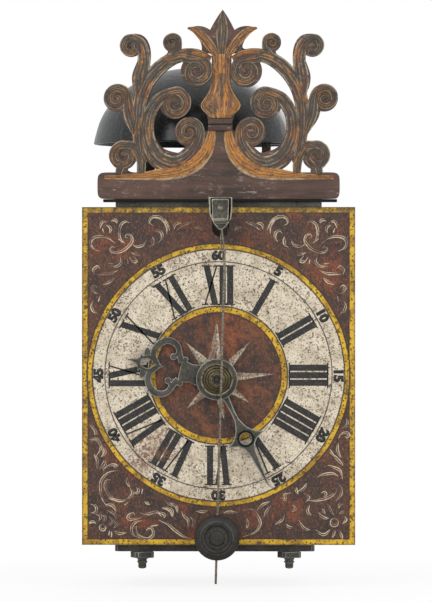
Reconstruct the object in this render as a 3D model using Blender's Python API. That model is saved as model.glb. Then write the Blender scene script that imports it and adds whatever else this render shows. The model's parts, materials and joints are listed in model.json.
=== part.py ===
# Iron wall clock with a verge escapement, a front pendulum and a count-wheel strike.
# Metres, Z up, X to the right, the dial faces -Y and the wall is the plane Y = 0.
# The origin is the middle of the rear face of the hanging hoop.
import math

import bmesh
import bpy

MM = 0.001

# General fits
SEAT_GAP = 0.3 * MM
BORE_GAP = 0.3 * MM

# Frame
HOOP_HEIGHT = 6 * MM
HOOP_WIDTH = 46 * MM
HOOP_BAR = 6 * MM
HOOP_OVERLAP = 20 * MM
HOOP_CORNER = 14 * MM
TOP_FACE = -HOOP_HEIGHT / 2 - SEAT_GAP
PLATE_FRONT = -178 * MM
PLATE_REAR = -32 * MM
PLATE_CORNER = 4 * MM
TOP_PLATE_WIDTH = 155 * MM
TOP_PLATE_THICK = 4 * MM
BOTTOM_PLATE_WIDTH = 150 * MM
BOTTOM_PLATE_SHIFT = -2.9 * MM
BOTTOM_PLATE_THICK = 4.8 * MM
FRAME_DEPTH = 257.4 * MM
POST_SIDE = 9 * MM
POST_MIDDLE_X = -2.2 * MM
POST_HALF_SPACING = 55.25 * MM
FRONT_POST_Y = -172.5 * MM
REAR_POST_Y = -38 * MM
STUD_RADIUS = 3.5 * MM
STUD_LENGTH = 17.6 * MM
TENON_RADIUS = 3 * MM
NUT_SIDE = 15 * MM
NUT_HEIGHT = 4.6 * MM
NUT_CHAMFER = 2 * MM
SPUR_DROP = FRAME_DEPTH - 12.4 * MM
SPUR_RADIUS = 5 * MM
SPUR_TIP_RADIUS = 2.2 * MM
SPUR_SHANK_RADIUS = 3 * MM
SPUR_SHANK_LENGTH = 6 * MM
SPUR_COLLAR = 4 * MM
ROPE_HOLE_RADIUS = 7 * MM
ROPE_SPREAD = 22 * MM

# Movement bars
BAR_THICK = 5 * MM
BAR_WIDTH = 16 * MM
FRONT_BAR_Y = -167 * MM
MIDDLE_BAR_Y = -115 * MM
REAR_BAR_Y = -61 * MM
BAR_ARM_END = 41 * MM
HAMMER_ARM_HEIGHT = 12 * MM
LEVER_ARM_HEIGHT = 14 * MM

# Dial and hands
DIAL_WIDTH = 205 * MM
DIAL_DROP = 3.7 * MM
DIAL_FOOT_GAP = 0.2 * MM
DIAL_HEIGHT = FRAME_DEPTH - DIAL_DROP - DIAL_FOOT_GAP
DIAL_THICK = 1.6 * MM
DIAL_Y = PLATE_FRONT - SEAT_GAP
DIAL_NOTCH_WIDTH = 13 * MM
DIAL_NOTCH_DROP = 26.2 * MM
DIAL_FOOT_RADIUS = 2.5 * MM
DIAL_FOOT_DROPS = (30 * MM, FRAME_DEPTH - 32.4 * MM)
DIAL_FOOT_LENGTH = 15 * MM
HAND_AXIS_X = -1.1 * MM
HAND_AXIS_DROP = 133 * MM
HOUR_ANGLE = math.radians(283)
MINUTE_ANGLE = math.radians(154)
HAND_THICK = 1.6 * MM
HUB_RADIUS = 10 * MM
HOUR_HAND_KNOBS = ((9.2 * MM, 35.6 * MM, 2.6 * MM), (9.2 * MM, 26.4 * MM, 2.3 * MM))
MINUTE_EYE = 4.3 * MM
MINUTE_EYE_REACH = 49.2 * MM
HOUR_HAND_Y = -182.4 * MM
MINUTE_HAND_Y = -186.4 * MM
WASHER_RADIUS = 15.6 * MM
WASHER_THICK = 1.2 * MM
CAP_RADIUS = 12.8 * MM
CAP_HEIGHT = 3.8 * MM
CAP_HOLE = 2.6 * MM
CENTRE_ARBOR_RADIUS = 1.9 * MM
CANNON_RADIUS = 3.4 * MM
HOUR_PIPE_RADIUS = 5 * MM

# Pendulum
PENDULUM_X = 1.65 * MM
PENDULUM_DROP = 6.1 * MM
VERGE_RADIUS = 1.3 * MM
VERGE_PIVOT_RADIUS = 0.8 * MM
PALLET_REACH = 5.8 * MM
PALLET_WIDTH = 5 * MM
PALLET_THICK = 1 * MM
PALLET_ANGLE = math.radians(45)
ROD_RADIUS = 1 * MM
ROD_Y = -197.5 * MM
COLLET_RADIUS = 2.8 * MM
COLLET_LENGTH = 6 * MM
ROD_BEND = ((2.6, -22), (3.3, -29), (4.9, -36))
ROD_END = (-1.9, -285.5)
BOB_RADIUS = 16.9 * MM
BOB_THICK = 14 * MM
BOB_DROP = 251 * MM
COCK_PLATE_Y = -201 * MM
COCK_PLATE_THICK = 2.5 * MM
COCK_PAD_THICK = 1 * MM
COCK_ARM_WIDTH = 10 * MM
COCK_ARM_HEIGHT = 2.4 * MM
COCK_TONGUE = 8 * MM
VERGE_COCK_Y = -119 * MM
VERGE_COCK_THICK = 3 * MM

# Going train: tooth counts, modules and the planes of the wheels
TOOTH_CLEARANCE = 0.1
WHEEL_RISE = 0.85
WHEEL_DEPTH = 1.4
PINION_RISE = 0.45
PINION_DEPTH = 1.1
PINION_ROOT = 0.38
PINION_TIP = 0.24
GREAT_TEETH = 48
GREAT_MODULE = 1.8 * MM
CENTRE_PINION = 8
CENTRE_TEETH = 66
CENTRE_MODULE = 1 * MM
CONTRATE_PINION = 6
CONTRATE_TEETH = 60
CONTRATE_RADIUS = 27 * MM
CONTRATE_RIM = 4 * MM
CONTRATE_TOOTH = 2.6 * MM
CONTRATE_RISE = 0.6 * MM
CROWN_PINION = 6
CROWN_TEETH = 33
CROWN_RADIUS = 15.5 * MM
CROWN_WALL = 1.6 * MM
CROWN_TIP_DROP = 11.5 * MM
CROWN_TOOTH = 4 * MM
CROWN_BAND = 7.5 * MM
CROWN_WEB = 2 * MM
CROWN_ARBOR_RADIUS = 2 * MM
CROWN_PIVOT_RADIUS = 0.8 * MM
CROWN_AXIS_Y = -140 * MM
WHEEL_THICK = 3.2 * MM
RIM_WIDTH = 3 * MM
SPOKE_HALF = 2.2 * MM
HUB_WALL = 4 * MM
PINION_LENGTH = 8.5 * MM
PINION_LEAD = 2.6 * MM
ARBOR_RADIUS = 2.2 * MM
PIVOT_RADIUS = 1.3 * MM
PIVOT_LENGTH = BAR_THICK - 0.2 * MM
PIVOT_END = 0.5 * MM
GREAT_Y = -157 * MM
CENTRE_WHEEL_Y = -124 * MM
GOING_PULLEY_Y = -150 * MM
PULLEY_RADIUS = 22 * MM
PULLEY_WIDTH = 20 * MM
PULLEY_GROOVE = 5 * MM
PULLEY_SPIKES = 6

# Motion work
MOTION_MODULE = 1 * MM
CANNON_TEETH = 10
MINUTE_WHEEL_TEETH = 30
MINUTE_PINION = 8
HOUR_TEETH = 32
MOTION_THICK = 2.8 * MM
MOTION_STUD_RADIUS = 2.5 * MM
CANNON_Y = -172.6 * MM
HOUR_WHEEL_Y = -176 * MM

# Striking train
STRIKE_GREAT_Y = -104 * MM
STRIKE_PULLEY_Y = -97 * MM
PIN_WHEEL_TEETH = 48
PIN_WHEEL_MODULE = 1.2 * MM
PIN_WHEEL_Y = -72 * MM
PIN_COUNT = 8
PIN_CIRCLE = 20 * MM
PIN_RADIUS = 1.2 * MM
PIN_LENGTH = 10 * MM
HOOP_PINION = 6
HOOP_TEETH = 36
HOOP_MODULE = 1.1 * MM
HOOP_WHEEL_Y = -92 * MM
LOCK_RING_RADIUS = 16 * MM
LOCK_RING_WALL = 2 * MM
LOCK_RING_HEIGHT = 4.5 * MM
LOCK_RING_ARC = math.radians(310)
FLY_PINION = 6
FLY_RADIUS = 18 * MM
FLY_THICK = 1 * MM
FLY_START = -86 * MM
FLY_END = -68 * MM
COUNT_PINION = 16
COUNT_TEETH = 26
COUNT_MODULE = 1.5 * MM
COUNT_Y = -53 * MM
COUNT_GEAR_THICK = 4 * MM
COUNT_DISC_RADIUS = 27 * MM
COUNT_DISC_THICK = 2.4 * MM
COUNT_NOTCH_DEPTH = 4 * MM
COUNT_NOTCH_WIDTH = 2.6 * MM
COUNT_STUD_RADIUS = 3 * MM
HAMMER_X = 33 * MM
HAMMER_DROP = 100 * MM
HAMMER_ARM_Y = -95 * MM
HAMMER_ARM_THICK = 4 * MM
HAMMER_HEAD_DEPTH = 10 * MM
HAMMER_HEAD_HEIGHT = 10 * MM
HAMMER_SLOT_LEFT = 25 * MM
HAMMER_SLOT_RIGHT = 9 * MM
HAMMER_SLOT_SIDE = 3 * MM
HAMMER_REST_GAP = 5.2 * MM
HAMMER_TAIL_Y = -81 * MM
HAMMER_TAIL_THICK = 3.5 * MM
LEVER_X = -34 * MM
LOCKING_DROP = 92 * MM
LIFTING_DROP = 110 * MM
LEVER_RADIUS = 2 * MM
FINGER_THICK = 1.6 * MM
FINGER_GAP = 0.6 * MM

# Bell and crest
BELL_X = -19.3 * MM
BELL_Y = -92 * MM
BELL_RIM = 46.2 * MM
BELL_RADIUS = 77.8 * MM
BELL_HEIGHT = 58 * MM
BELL_WALL = 2.8 * MM
BELL_HOLE = 3.4 * MM
BELL_STEPS = 26
STAND_THICK = 4 * MM
STAND_STUD = 3 * MM
STAND_TOP = 99.5 * MM
BELL_NUT_SIDE = 11 * MM
BELL_NUT_HEIGHT = 5 * MM
CREST_THICK = 10 * MM
CREST_BACK = -171 * MM
CREST_RAIL_THICK = 1.6 * MM
CREST_RAIL_LEFT = -86.6 * MM
CREST_RAIL_RIGHT = 88.9 * MM
CREST_HALF_WIDTH = 91 * MM
CREST_BASE_HEIGHT = 20.2 * MM
CREST_LEAN = 0.022
BRACKET_X = 62 * MM
BRACKET_WIDTH = 12 * MM
BRACKET_HEIGHT = 18 * MM
BRACKET_FOOT = 16 * MM
BRACKET_THICK = 2.4 * MM

# Finishes: colour, roughness, metallic
IRON = ((0.075, 0.073, 0.062), 0.5, 0.85)
DARK_IRON = ((0.045, 0.046, 0.044), 0.55, 0.85)
STEEL = ((0.2, 0.19, 0.17), 0.4, 0.9)
BRASS = ((0.22, 0.17, 0.07), 0.4, 0.9)
BELL_METAL = ((0.045, 0.05, 0.05), 0.35, 0.8)
DIAL_PAINT = ((0.18, 0.06, 0.035), 0.6, 0.0)
CREST_PAINT = ((0.1, 0.065, 0.045), 0.6, 0.0)


def below(drop):
    return TOP_FACE - drop


def linked(name, bm):
    bmesh.ops.recalc_face_normals(bm, faces=bm.faces)
    mesh = bpy.data.meshes.new(name)
    bm.to_mesh(mesh)
    bm.free()
    obj = bpy.data.objects.new(name, mesh)
    bpy.context.scene.collection.objects.link(obj)
    return obj


def finished(obj, finish):
    colour, roughness, metallic = finish
    material = bpy.data.materials.new(obj.name + "_finish")
    material.use_nodes = True
    shader = material.node_tree.nodes["Principled BSDF"]
    shader.inputs["Base Color"].default_value = (*colour, 1)
    shader.inputs["Roughness"].default_value = roughness
    shader.inputs["Metallic"].default_value = metallic
    obj.data.materials.clear()
    obj.data.materials.append(material)


def node(name, bm, finish, location=(0, 0, 0)):
    obj = linked(name, bm)
    finished(obj, finish)
    obj.location = location
    return obj


def combined(target, bm, operation):
    tool = linked("tool", bm)
    tool.matrix_world = target.matrix_world
    modifier = target.modifiers.new(operation.lower(), "BOOLEAN")
    modifier.operation = operation
    modifier.solver = "EXACT"
    modifier.object = tool
    graph = bpy.context.evaluated_depsgraph_get()
    result = bpy.data.meshes.new_from_object(target.evaluated_get(graph))
    target.modifiers.clear()
    target.data = result
    bpy.data.objects.remove(tool)


def join(target, *meshes):
    bpy.context.view_layer.update()
    for bm in meshes:
        combined(target, bm, "UNION")


def cut(target, *meshes):
    bpy.context.view_layer.update()
    for bm in meshes:
        combined(target, bm, "DIFFERENCE")


def prism(loops, start, end, plane="XZ"):
    # Fills the first loop, less the others, and extrudes it along the third axis.
    bm = bmesh.new()
    edges = []
    for loop in loops:
        if plane == "XZ":
            verts = [bm.verts.new((a, start, b)) for a, b in loop]
        else:
            verts = [bm.verts.new((a, b, start)) for a, b in loop]
        edges += [bm.edges.new((verts[i - 1], verts[i])) for i in range(len(verts))]
    bmesh.ops.triangle_fill(bm, use_beauty=True, use_dissolve=False, edges=edges)
    made = bmesh.ops.extrude_face_region(bm, geom=bm.faces[:])
    moved = [item for item in made["geom"] if isinstance(item, bmesh.types.BMVert)]
    shift = (0, end - start, 0) if plane == "XZ" else (0, 0, end - start)
    bmesh.ops.translate(bm, vec=shift, verts=moved)
    return bm


def circle(radius, count, centre=(0, 0)):
    return [
        (
            centre[0] + radius * math.cos(2 * math.pi * i / count),
            centre[1] + radius * math.sin(2 * math.pi * i / count),
        )
        for i in range(count)
    ]


def arc(centre, radius, start, end, count):
    return [
        (
            centre[0] + radius * math.cos(start + (end - start) * i / count),
            centre[1] + radius * math.sin(start + (end - start) * i / count),
        )
        for i in range(count + 1)
    ]


def rod(radius, start, end, plane="XZ", centre=(0, 0), count=12):
    return prism([circle(radius, count, centre)], start, end, plane)


def block(x0, x1, y0, y1, z0, z1):
    return prism([[(x0, z0), (x1, z0), (x1, z1), (x0, z1)]], y0, y1)


def turned(profile, steps, axis, ring=False):
    # Spins points (radius, place along the axis) round the axis.
    bm = bmesh.new()
    if axis == "Y":
        verts = [bm.verts.new((r, t, 0)) for r, t in profile]
        direction = (0, 1, 0)
    else:
        verts = [bm.verts.new((r, 0, t)) for r, t in profile]
        direction = (0, 0, 1)
    edges = [bm.edges.new((verts[i], verts[i + 1])) for i in range(len(verts) - 1)]
    if ring:
        edges.append(bm.edges.new((verts[-1], verts[0])))
    bmesh.ops.spin(
        bm, geom=verts + edges, cent=(0, 0, 0), axis=direction, angle=2 * math.pi, steps=steps
    )
    bmesh.ops.remove_doubles(bm, verts=bm.verts, dist=0.000001)
    return bm


def shifted(points, dx, dz):
    return [(x + dx, z + dz) for x, z in points]


def in_mm(points):
    return [(x * MM, z * MM) for x, z in points]


def teeth_outline(teeth, module, corners):
    # Corners are (share of a pitch, height over the pitch circle in modules) of one tooth.
    radius = teeth * module / 2
    pitch = 2 * math.pi / teeth
    return [
        (
            (radius + height * module) * math.cos((i + share) * pitch),
            (radius + height * module) * math.sin((i + share) * pitch),
        )
        for i in range(teeth)
        for share, height in corners
    ]


def wheel_outline(teeth, module):
    return teeth_outline(teeth, module, ((-0.5, -WHEEL_DEPTH), (0, WHEEL_RISE)))


def pinion_outline(leaves, module):
    low = (PINION_ROOT / 2, -PINION_DEPTH)
    high = (PINION_TIP / 2, PINION_RISE)
    return teeth_outline(leaves, module, ((-low[0], low[1]), (-high[0], high[1]), high, low))


def spoke_windows(outer, inner, half_width, count=4, turn=0.0):
    windows = []
    for i in range(count):
        start = turn + 2 * math.pi * i / count
        end = start + 2 * math.pi / count
        near = math.asin(half_width / inner)
        far = math.asin(half_width / outer)
        window = arc((0, 0), inner, start + near, end - near, 2)
        window += arc((0, 0), outer, end - far, start + far, 4)
        windows.append(window)
    return windows


def turned_points(points, angle):
    c = math.cos(angle)
    s = math.sin(angle)
    return [(x * c - z * s, x * s + z * c) for x, z in points]


def wheel(name, teeth, module, bore, y, location, phase=0.0, rim=None):
    if rim is None:
        rim = teeth * module / 2 - WHEEL_DEPTH * module - RIM_WIDTH
    loops = [turned_points(wheel_outline(teeth, module), phase)]
    loops.append(circle(bore, 12))
    loops += spoke_windows(rim, bore + HUB_WALL, SPOKE_HALF)
    return node(name, prism(loops, y, y + WHEEL_THICK), IRON, location)


def shaft(start, end):
    return (
        (0, end),
        (PIVOT_RADIUS, end),
        (PIVOT_RADIUS, end - PIVOT_LENGTH),
        (ARBOR_RADIUS, end - PIVOT_LENGTH),
        (ARBOR_RADIUS, start + PIVOT_LENGTH),
        (PIVOT_RADIUS, start + PIVOT_LENGTH),
        (PIVOT_RADIUS, start),
        (0, start),
    )


def arbor(name, leaves, module, pinion_y, start, end, location, phase=0.0):
    obj = node(name, turned(shaft(start, end), 10, "Y"), STEEL, location)
    outline = turned_points(pinion_outline(leaves, module), phase)
    join(obj, prism([outline], pinion_y, pinion_y + PINION_LENGTH))
    finished(obj, STEEL)
    return obj


def mesh_phase(driver_teeth, driver_phase, driven_teeth, direction):
    # Turns a driven wheel so that one of its gaps meets a driver tooth on the line of centres.
    pitch = 2 * math.pi / driver_teeth
    offset = (driver_phase - direction) / pitch
    share = offset - math.floor(offset)
    gap = math.pi / driven_teeth
    return direction + math.pi + gap - share * 2 * math.pi / driven_teeth


def distance(teeth, leaves, module):
    return (teeth + leaves) * module / 2 + TOOTH_CLEARANCE * module


def spaced_posts():
    for side, x in (("left", -POST_HALF_SPACING), ("right", POST_HALF_SPACING)):
        for end, y in (("front", FRONT_POST_Y), ("rear", REAR_POST_Y)):
            yield f"{end}_{side}", POST_MIDDLE_X + x, y


# Axes of the train, as (x, z)
CENTRE = (HAND_AXIS_X, below(HAND_AXIS_DROP))
GREAT = (CENTRE[0], CENTRE[1] - distance(GREAT_TEETH, CENTRE_PINION, GREAT_MODULE))
CONTRATE_DISTANCE = distance(CENTRE_TEETH, CONTRATE_PINION, CENTRE_MODULE)
CONTRATE_SHIFT = PENDULUM_X - CENTRE[0]
CONTRATE_ANGLE = math.acos(CONTRATE_SHIFT / CONTRATE_DISTANCE)
CONTRATE = (PENDULUM_X, CENTRE[1] + CONTRATE_DISTANCE * math.sin(CONTRATE_ANGLE))
CONTRATE_PITCH = 2 * math.pi * CONTRATE_RADIUS / CONTRATE_TEETH
CROWN_PINION_RADIUS = CROWN_PINION * CONTRATE_PITCH / (2 * math.pi)
CROWN_MODULE = 2 * CROWN_PINION_RADIUS / CROWN_PINION
MOTION_STUD = (CENTRE[0], CENTRE[1] - distance(MINUTE_WHEEL_TEETH, CANNON_TEETH, MOTION_MODULE))
PIN_WHEEL = (GREAT[0], GREAT[1] + distance(GREAT_TEETH, CENTRE_PINION, GREAT_MODULE))
HOOP_AXIS = (PIN_WHEEL[0], PIN_WHEEL[1] + distance(PIN_WHEEL_TEETH, HOOP_PINION, PIN_WHEEL_MODULE))
FLY_AXIS = (HOOP_AXIS[0], HOOP_AXIS[1] + distance(HOOP_TEETH, FLY_PINION, HOOP_MODULE))
COUNT_AXIS = (GREAT[0], GREAT[1] + distance(COUNT_TEETH, COUNT_PINION, COUNT_MODULE))
VERGE_Z = below(PENDULUM_DROP)
HAMMER_AXIS = (HAMMER_X, below(HAMMER_DROP))
LOCKING_AXIS = (LEVER_X, below(LOCKING_DROP))
LIFTING_AXIS = (LEVER_X, below(LIFTING_DROP))
UP = math.pi / 2
DOWN = -math.pi / 2

for old in list(bpy.data.objects):
    bpy.data.objects.remove(old)


def rounded_rectangle(x0, x1, y0, y1, radius):
    return (
        arc((x1 - radius, y1 - radius), radius, 0, UP, 3)
        + arc((x0 + radius, y1 - radius), radius, UP, math.pi, 3)
        + arc((x0 + radius, y0 + radius), radius, math.pi, math.pi - DOWN, 3)
        + arc((x1 - radius, y0 + radius), radius, DOWN, 0, 3)
    )


def build_frame():
    half = TOP_PLATE_WIDTH / 2
    holes = [circle(TENON_RADIUS + BORE_GAP, 12, (x, y)) for _, x, y in spaced_posts()]
    slot_left = HAMMER_X - HAMMER_SLOT_LEFT
    slot_right = HAMMER_X + HAMMER_SLOT_RIGHT
    slot_front = HAMMER_ARM_Y - HAMMER_SLOT_SIDE
    slot_rear = HAMMER_ARM_Y + HAMMER_ARM_THICK + HAMMER_SLOT_SIDE
    slot = [(slot_left, slot_front), (slot_right, slot_front)]
    slot += [(slot_right, slot_rear), (slot_left, slot_rear)]
    outline = rounded_rectangle(-half, half, PLATE_FRONT, PLATE_REAR, PLATE_CORNER)
    top = node(
        "top_plate",
        prism([outline] + holes + [slot], TOP_FACE - TOP_PLATE_THICK, TOP_FACE, "XY"),
        DARK_IRON,
    )
    arm = COCK_ARM_WIDTH / 2 + SEAT_GAP
    cut(
        top,
        block(
            PENDULUM_X - arm,
            PENDULUM_X + arm,
            PLATE_FRONT - 1 * MM,
            PLATE_FRONT + COCK_TONGUE,
            TOP_FACE - TOP_PLATE_THICK - 1 * MM,
            TOP_FACE + 1 * MM,
        ),
    )
    finished(top, DARK_IRON)

    half = BOTTOM_PLATE_WIDTH / 2
    outline = rounded_rectangle(
        BOTTOM_PLATE_SHIFT - half, BOTTOM_PLATE_SHIFT + half, PLATE_FRONT, PLATE_REAR, PLATE_CORNER
    )
    holes = [circle(STUD_RADIUS + BORE_GAP, 12, (x, y)) for _, x, y in spaced_posts()]
    for pulley_y in (GOING_PULLEY_Y, STRIKE_PULLEY_Y):
        for side in (-ROPE_SPREAD, ROPE_SPREAD):
            holes.append(
                circle(ROPE_HOLE_RADIUS, 12, (GREAT[0] + side, pulley_y + PULLEY_WIDTH / 2))
            )
    bottom = below(FRAME_DEPTH)
    node(
        "bottom_plate",
        prism([outline] + holes, bottom - BOTTOM_PLATE_THICK, bottom, "XY"),
        DARK_IRON,
    )

    half = POST_SIDE / 2
    post_top = TOP_FACE - TOP_PLATE_THICK - SEAT_GAP
    post_foot = bottom + SEAT_GAP
    for name, x, y in spaced_posts():
        post = node(name + "_post", block(-half, half, -half, half, post_foot, post_top), IRON, (x, y, 0))
        stud_end = bottom - STUD_LENGTH
        dome = STUD_RADIUS * 0.6
        stud = (
            (0, post_foot + 1 * MM),
            (STUD_RADIUS, post_foot + 1 * MM),
            (STUD_RADIUS, stud_end + dome),
            (STUD_RADIUS * 0.7, stud_end + dome * 0.25),
            (0, stud_end),
        )
        join(post, turned(stud, 12, "Z"))
        join(post, rod(TENON_RADIUS, post_top - 1 * MM, TOP_FACE - 0.1 * MM, "XY"))
        if y == FRONT_POST_Y:
            for drop in DIAL_FOOT_DROPS:
                cut(
                    post,
                    rod(DIAL_FOOT_RADIUS + BORE_GAP, -half - 1 * MM, half + 1 * MM, "XZ", (0, below(drop))),
                )
        else:
            cut(
                post,
                rod(
                    SPUR_SHANK_RADIUS + BORE_GAP,
                    half - SPUR_SHANK_LENGTH - BORE_GAP,
                    half + 1 * MM,
                    "XZ",
                    (0, below(SPUR_DROP)),
                ),
            )
        finished(post, IRON)
        side = NUT_SIDE / 2
        corner = NUT_CHAMFER
        square = [
            (side, side - corner),
            (side - corner, side),
            (corner - side, side),
            (-side, side - corner),
            (-side, corner - side),
            (corner - side, -side),
            (side - corner, -side),
            (side, corner - side),
        ]
        nut_top = bottom - BOTTOM_PLATE_THICK - SEAT_GAP
        nut = node(
            name + "_nut",
            prism([square, circle(STUD_RADIUS + BORE_GAP, 12)], nut_top - NUT_HEIGHT, nut_top, "XY"),
            IRON,
            (x, y, 0),
        )
        nut.rotation_euler = (0, 0, math.radians(20))

    half = HOOP_WIDTH / 2
    inner = half - HOOP_BAR
    inner_corner = HOOP_CORNER - HOOP_BAR
    front = PLATE_REAR - HOOP_OVERLAP
    outline = [(-half, front), (-inner, front)]
    outline += arc((-inner + inner_corner, -HOOP_BAR - inner_corner), inner_corner, math.pi, UP, 4)
    outline += arc((inner - inner_corner, -HOOP_BAR - inner_corner), inner_corner, UP, 0, 4)
    outline += [(inner, front), (half, front)]
    outline += arc((half - HOOP_CORNER, -HOOP_CORNER), HOOP_CORNER, 0, UP, 5)
    outline += arc((HOOP_CORNER - half, -HOOP_CORNER), HOOP_CORNER, UP, math.pi, 5)
    node("wall_hoop", prism([outline], -HOOP_HEIGHT / 2, HOOP_HEIGHT / 2, "XY"), IRON)

    post_back = REAR_POST_Y + POST_SIDE / 2
    collar = post_back + SEAT_GAP
    profile = (
        (0, 0),
        (SPUR_TIP_RADIUS, 0),
        (SPUR_RADIUS, collar + SPUR_COLLAR),
        (SPUR_RADIUS, collar),
        (SPUR_SHANK_RADIUS, collar),
        (SPUR_SHANK_RADIUS, post_back - SPUR_SHANK_LENGTH),
        (0, post_back - SPUR_SHANK_LENGTH),
    )
    for side, x in (("left", -POST_HALF_SPACING), ("right", POST_HALF_SPACING)):
        node(
            side + "_wall_spur",
            turned(profile, 14, "Y"),
            IRON,
            (POST_MIDDLE_X + x, 0, below(SPUR_DROP)),
        )


def bar_outline(top_notch, left_arm, right_arm):
    left = HAND_AXIS_X - BAR_WIDTH / 2
    right = HAND_AXIS_X + BAR_WIDTH / 2
    top = TOP_FACE - TOP_PLATE_THICK - SEAT_GAP
    foot = below(FRAME_DEPTH) + SEAT_GAP
    points = [(left, foot), (right, foot)]
    if right_arm:
        middle = HAMMER_AXIS[1]
        points += [(right, middle - HAMMER_ARM_HEIGHT / 2), (BAR_ARM_END, middle - HAMMER_ARM_HEIGHT / 2)]
        points += [(BAR_ARM_END, middle + HAMMER_ARM_HEIGHT / 2), (right, middle + HAMMER_ARM_HEIGHT / 2)]
    points.append((right, top))
    if top_notch:
        half = VERGE_RADIUS + 1.2 * MM
        floor = VERGE_Z - half
        points += [(PENDULUM_X + half, top), (PENDULUM_X + half, floor)]
        points += [(PENDULUM_X - half, floor), (PENDULUM_X - half, top)]
    points.append((left, top))
    if left_arm:
        high, low = left_arm
        points += [(left, high + LEVER_ARM_HEIGHT / 2), (-BAR_ARM_END, high + LEVER_ARM_HEIGHT / 2)]
        points += [(-BAR_ARM_END, low - LEVER_ARM_HEIGHT / 2), (left, low - LEVER_ARM_HEIGHT / 2)]
    return points


def pivot_hole(axis, radius=PIVOT_RADIUS):
    return circle(radius + BORE_GAP, 8, axis)


def build_bars():
    loops = [bar_outline(True, (LIFTING_AXIS[1], LIFTING_AXIS[1]), False)]
    loops += [pivot_hole(GREAT), pivot_hole(CONTRATE), pivot_hole(CENTRE, CENTRE_ARBOR_RADIUS)]
    loops.append(pivot_hole(LIFTING_AXIS, LEVER_RADIUS))
    front = node("front_bar", prism(loops, FRONT_BAR_Y, FRONT_BAR_Y + BAR_THICK), IRON)
    join(front, rod(MOTION_STUD_RADIUS, HOUR_WHEEL_Y - 1.5 * MM, FRONT_BAR_Y + 1 * MM, "XZ", MOTION_STUD))
    finished(front, IRON)

    loops = [bar_outline(False, (LOCKING_AXIS[1], LIFTING_AXIS[1]), True)]
    loops += [pivot_hole(axis) for axis in (CENTRE, CONTRATE, HOOP_AXIS, FLY_AXIS, GREAT)]
    loops += [pivot_hole(axis, LEVER_RADIUS) for axis in (HAMMER_AXIS, LOCKING_AXIS, LIFTING_AXIS)]
    node("middle_bar", prism(loops, MIDDLE_BAR_Y, MIDDLE_BAR_Y + BAR_THICK), IRON)

    loops = [bar_outline(False, (LOCKING_AXIS[1], LOCKING_AXIS[1]), True)]
    loops += [pivot_hole(axis) for axis in (PIN_WHEEL, HOOP_AXIS, FLY_AXIS)]
    loops.append(pivot_hole(GREAT, ARBOR_RADIUS))
    loops += [pivot_hole(axis, LEVER_RADIUS) for axis in (HAMMER_AXIS, LOCKING_AXIS)]
    rear = node("rear_bar", prism(loops, REAR_BAR_Y, REAR_BAR_Y + BAR_THICK), IRON)
    stud_end = COUNT_Y + COUNT_GEAR_THICK + COUNT_DISC_THICK + 2 * MM
    join(rear, rod(COUNT_STUD_RADIUS, REAR_BAR_Y + BAR_THICK - 1 * MM, stud_end, "XZ", COUNT_AXIS))
    finished(rear, IRON)


def pulley(name, y, location):
    edge = PULLEY_RADIUS
    groove = edge - PULLEY_GROOVE
    bore = ARBOR_RADIUS + BORE_GAP
    flange = 3 * MM
    profile = (
        (bore, 0),
        (bore, PULLEY_WIDTH),
        (edge, PULLEY_WIDTH),
        (edge, PULLEY_WIDTH - flange),
        (groove, PULLEY_WIDTH - 2 * flange),
        (groove, 2 * flange),
        (edge, flange),
        (edge, 0),
    )
    shifted_profile = [(r, y + t) for r, t in profile]
    obj = node(name, turned(shifted_profile, 14, "Y", True), IRON, location)
    middle = y + PULLEY_WIDTH / 2
    for i in range(PULLEY_SPIKES):
        angle = 2 * math.pi * (i + 0.5) / PULLEY_SPIKES
        spike = [(groove - 1 * MM, -1.2 * MM), (edge - 1.5 * MM, 0), (groove - 1 * MM, 1.2 * MM)]
        join(obj, prism([turned_points(spike, angle)], middle - 1 * MM, middle + 1 * MM))
    finished(obj, IRON)


def crown_band(radius, wall, teeth, profile, base):
    # A ring whose upper edge follows the profile (share of a pitch, height) for each tooth.
    bm = bmesh.new()
    rings = []
    for i in range(teeth):
        for share, height in profile:
            angle = 2 * math.pi * (i + share) / teeth
            c = math.cos(angle)
            s = math.sin(angle)
            rings.append(
                [
                    bm.verts.new((r * c, r * s, z))
                    for r, z in (
                        (radius + wall / 2, base),
                        (radius + wall / 2, height),
                        (radius - wall / 2, height),
                        (radius - wall / 2, base),
                    )
                ]
            )
    for i, ring in enumerate(rings):
        last = rings[i - 1]
        for k in range(4):
            bm.faces.new((last[k - 1], last[k], ring[k], ring[k - 1]))
    return bm


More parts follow.
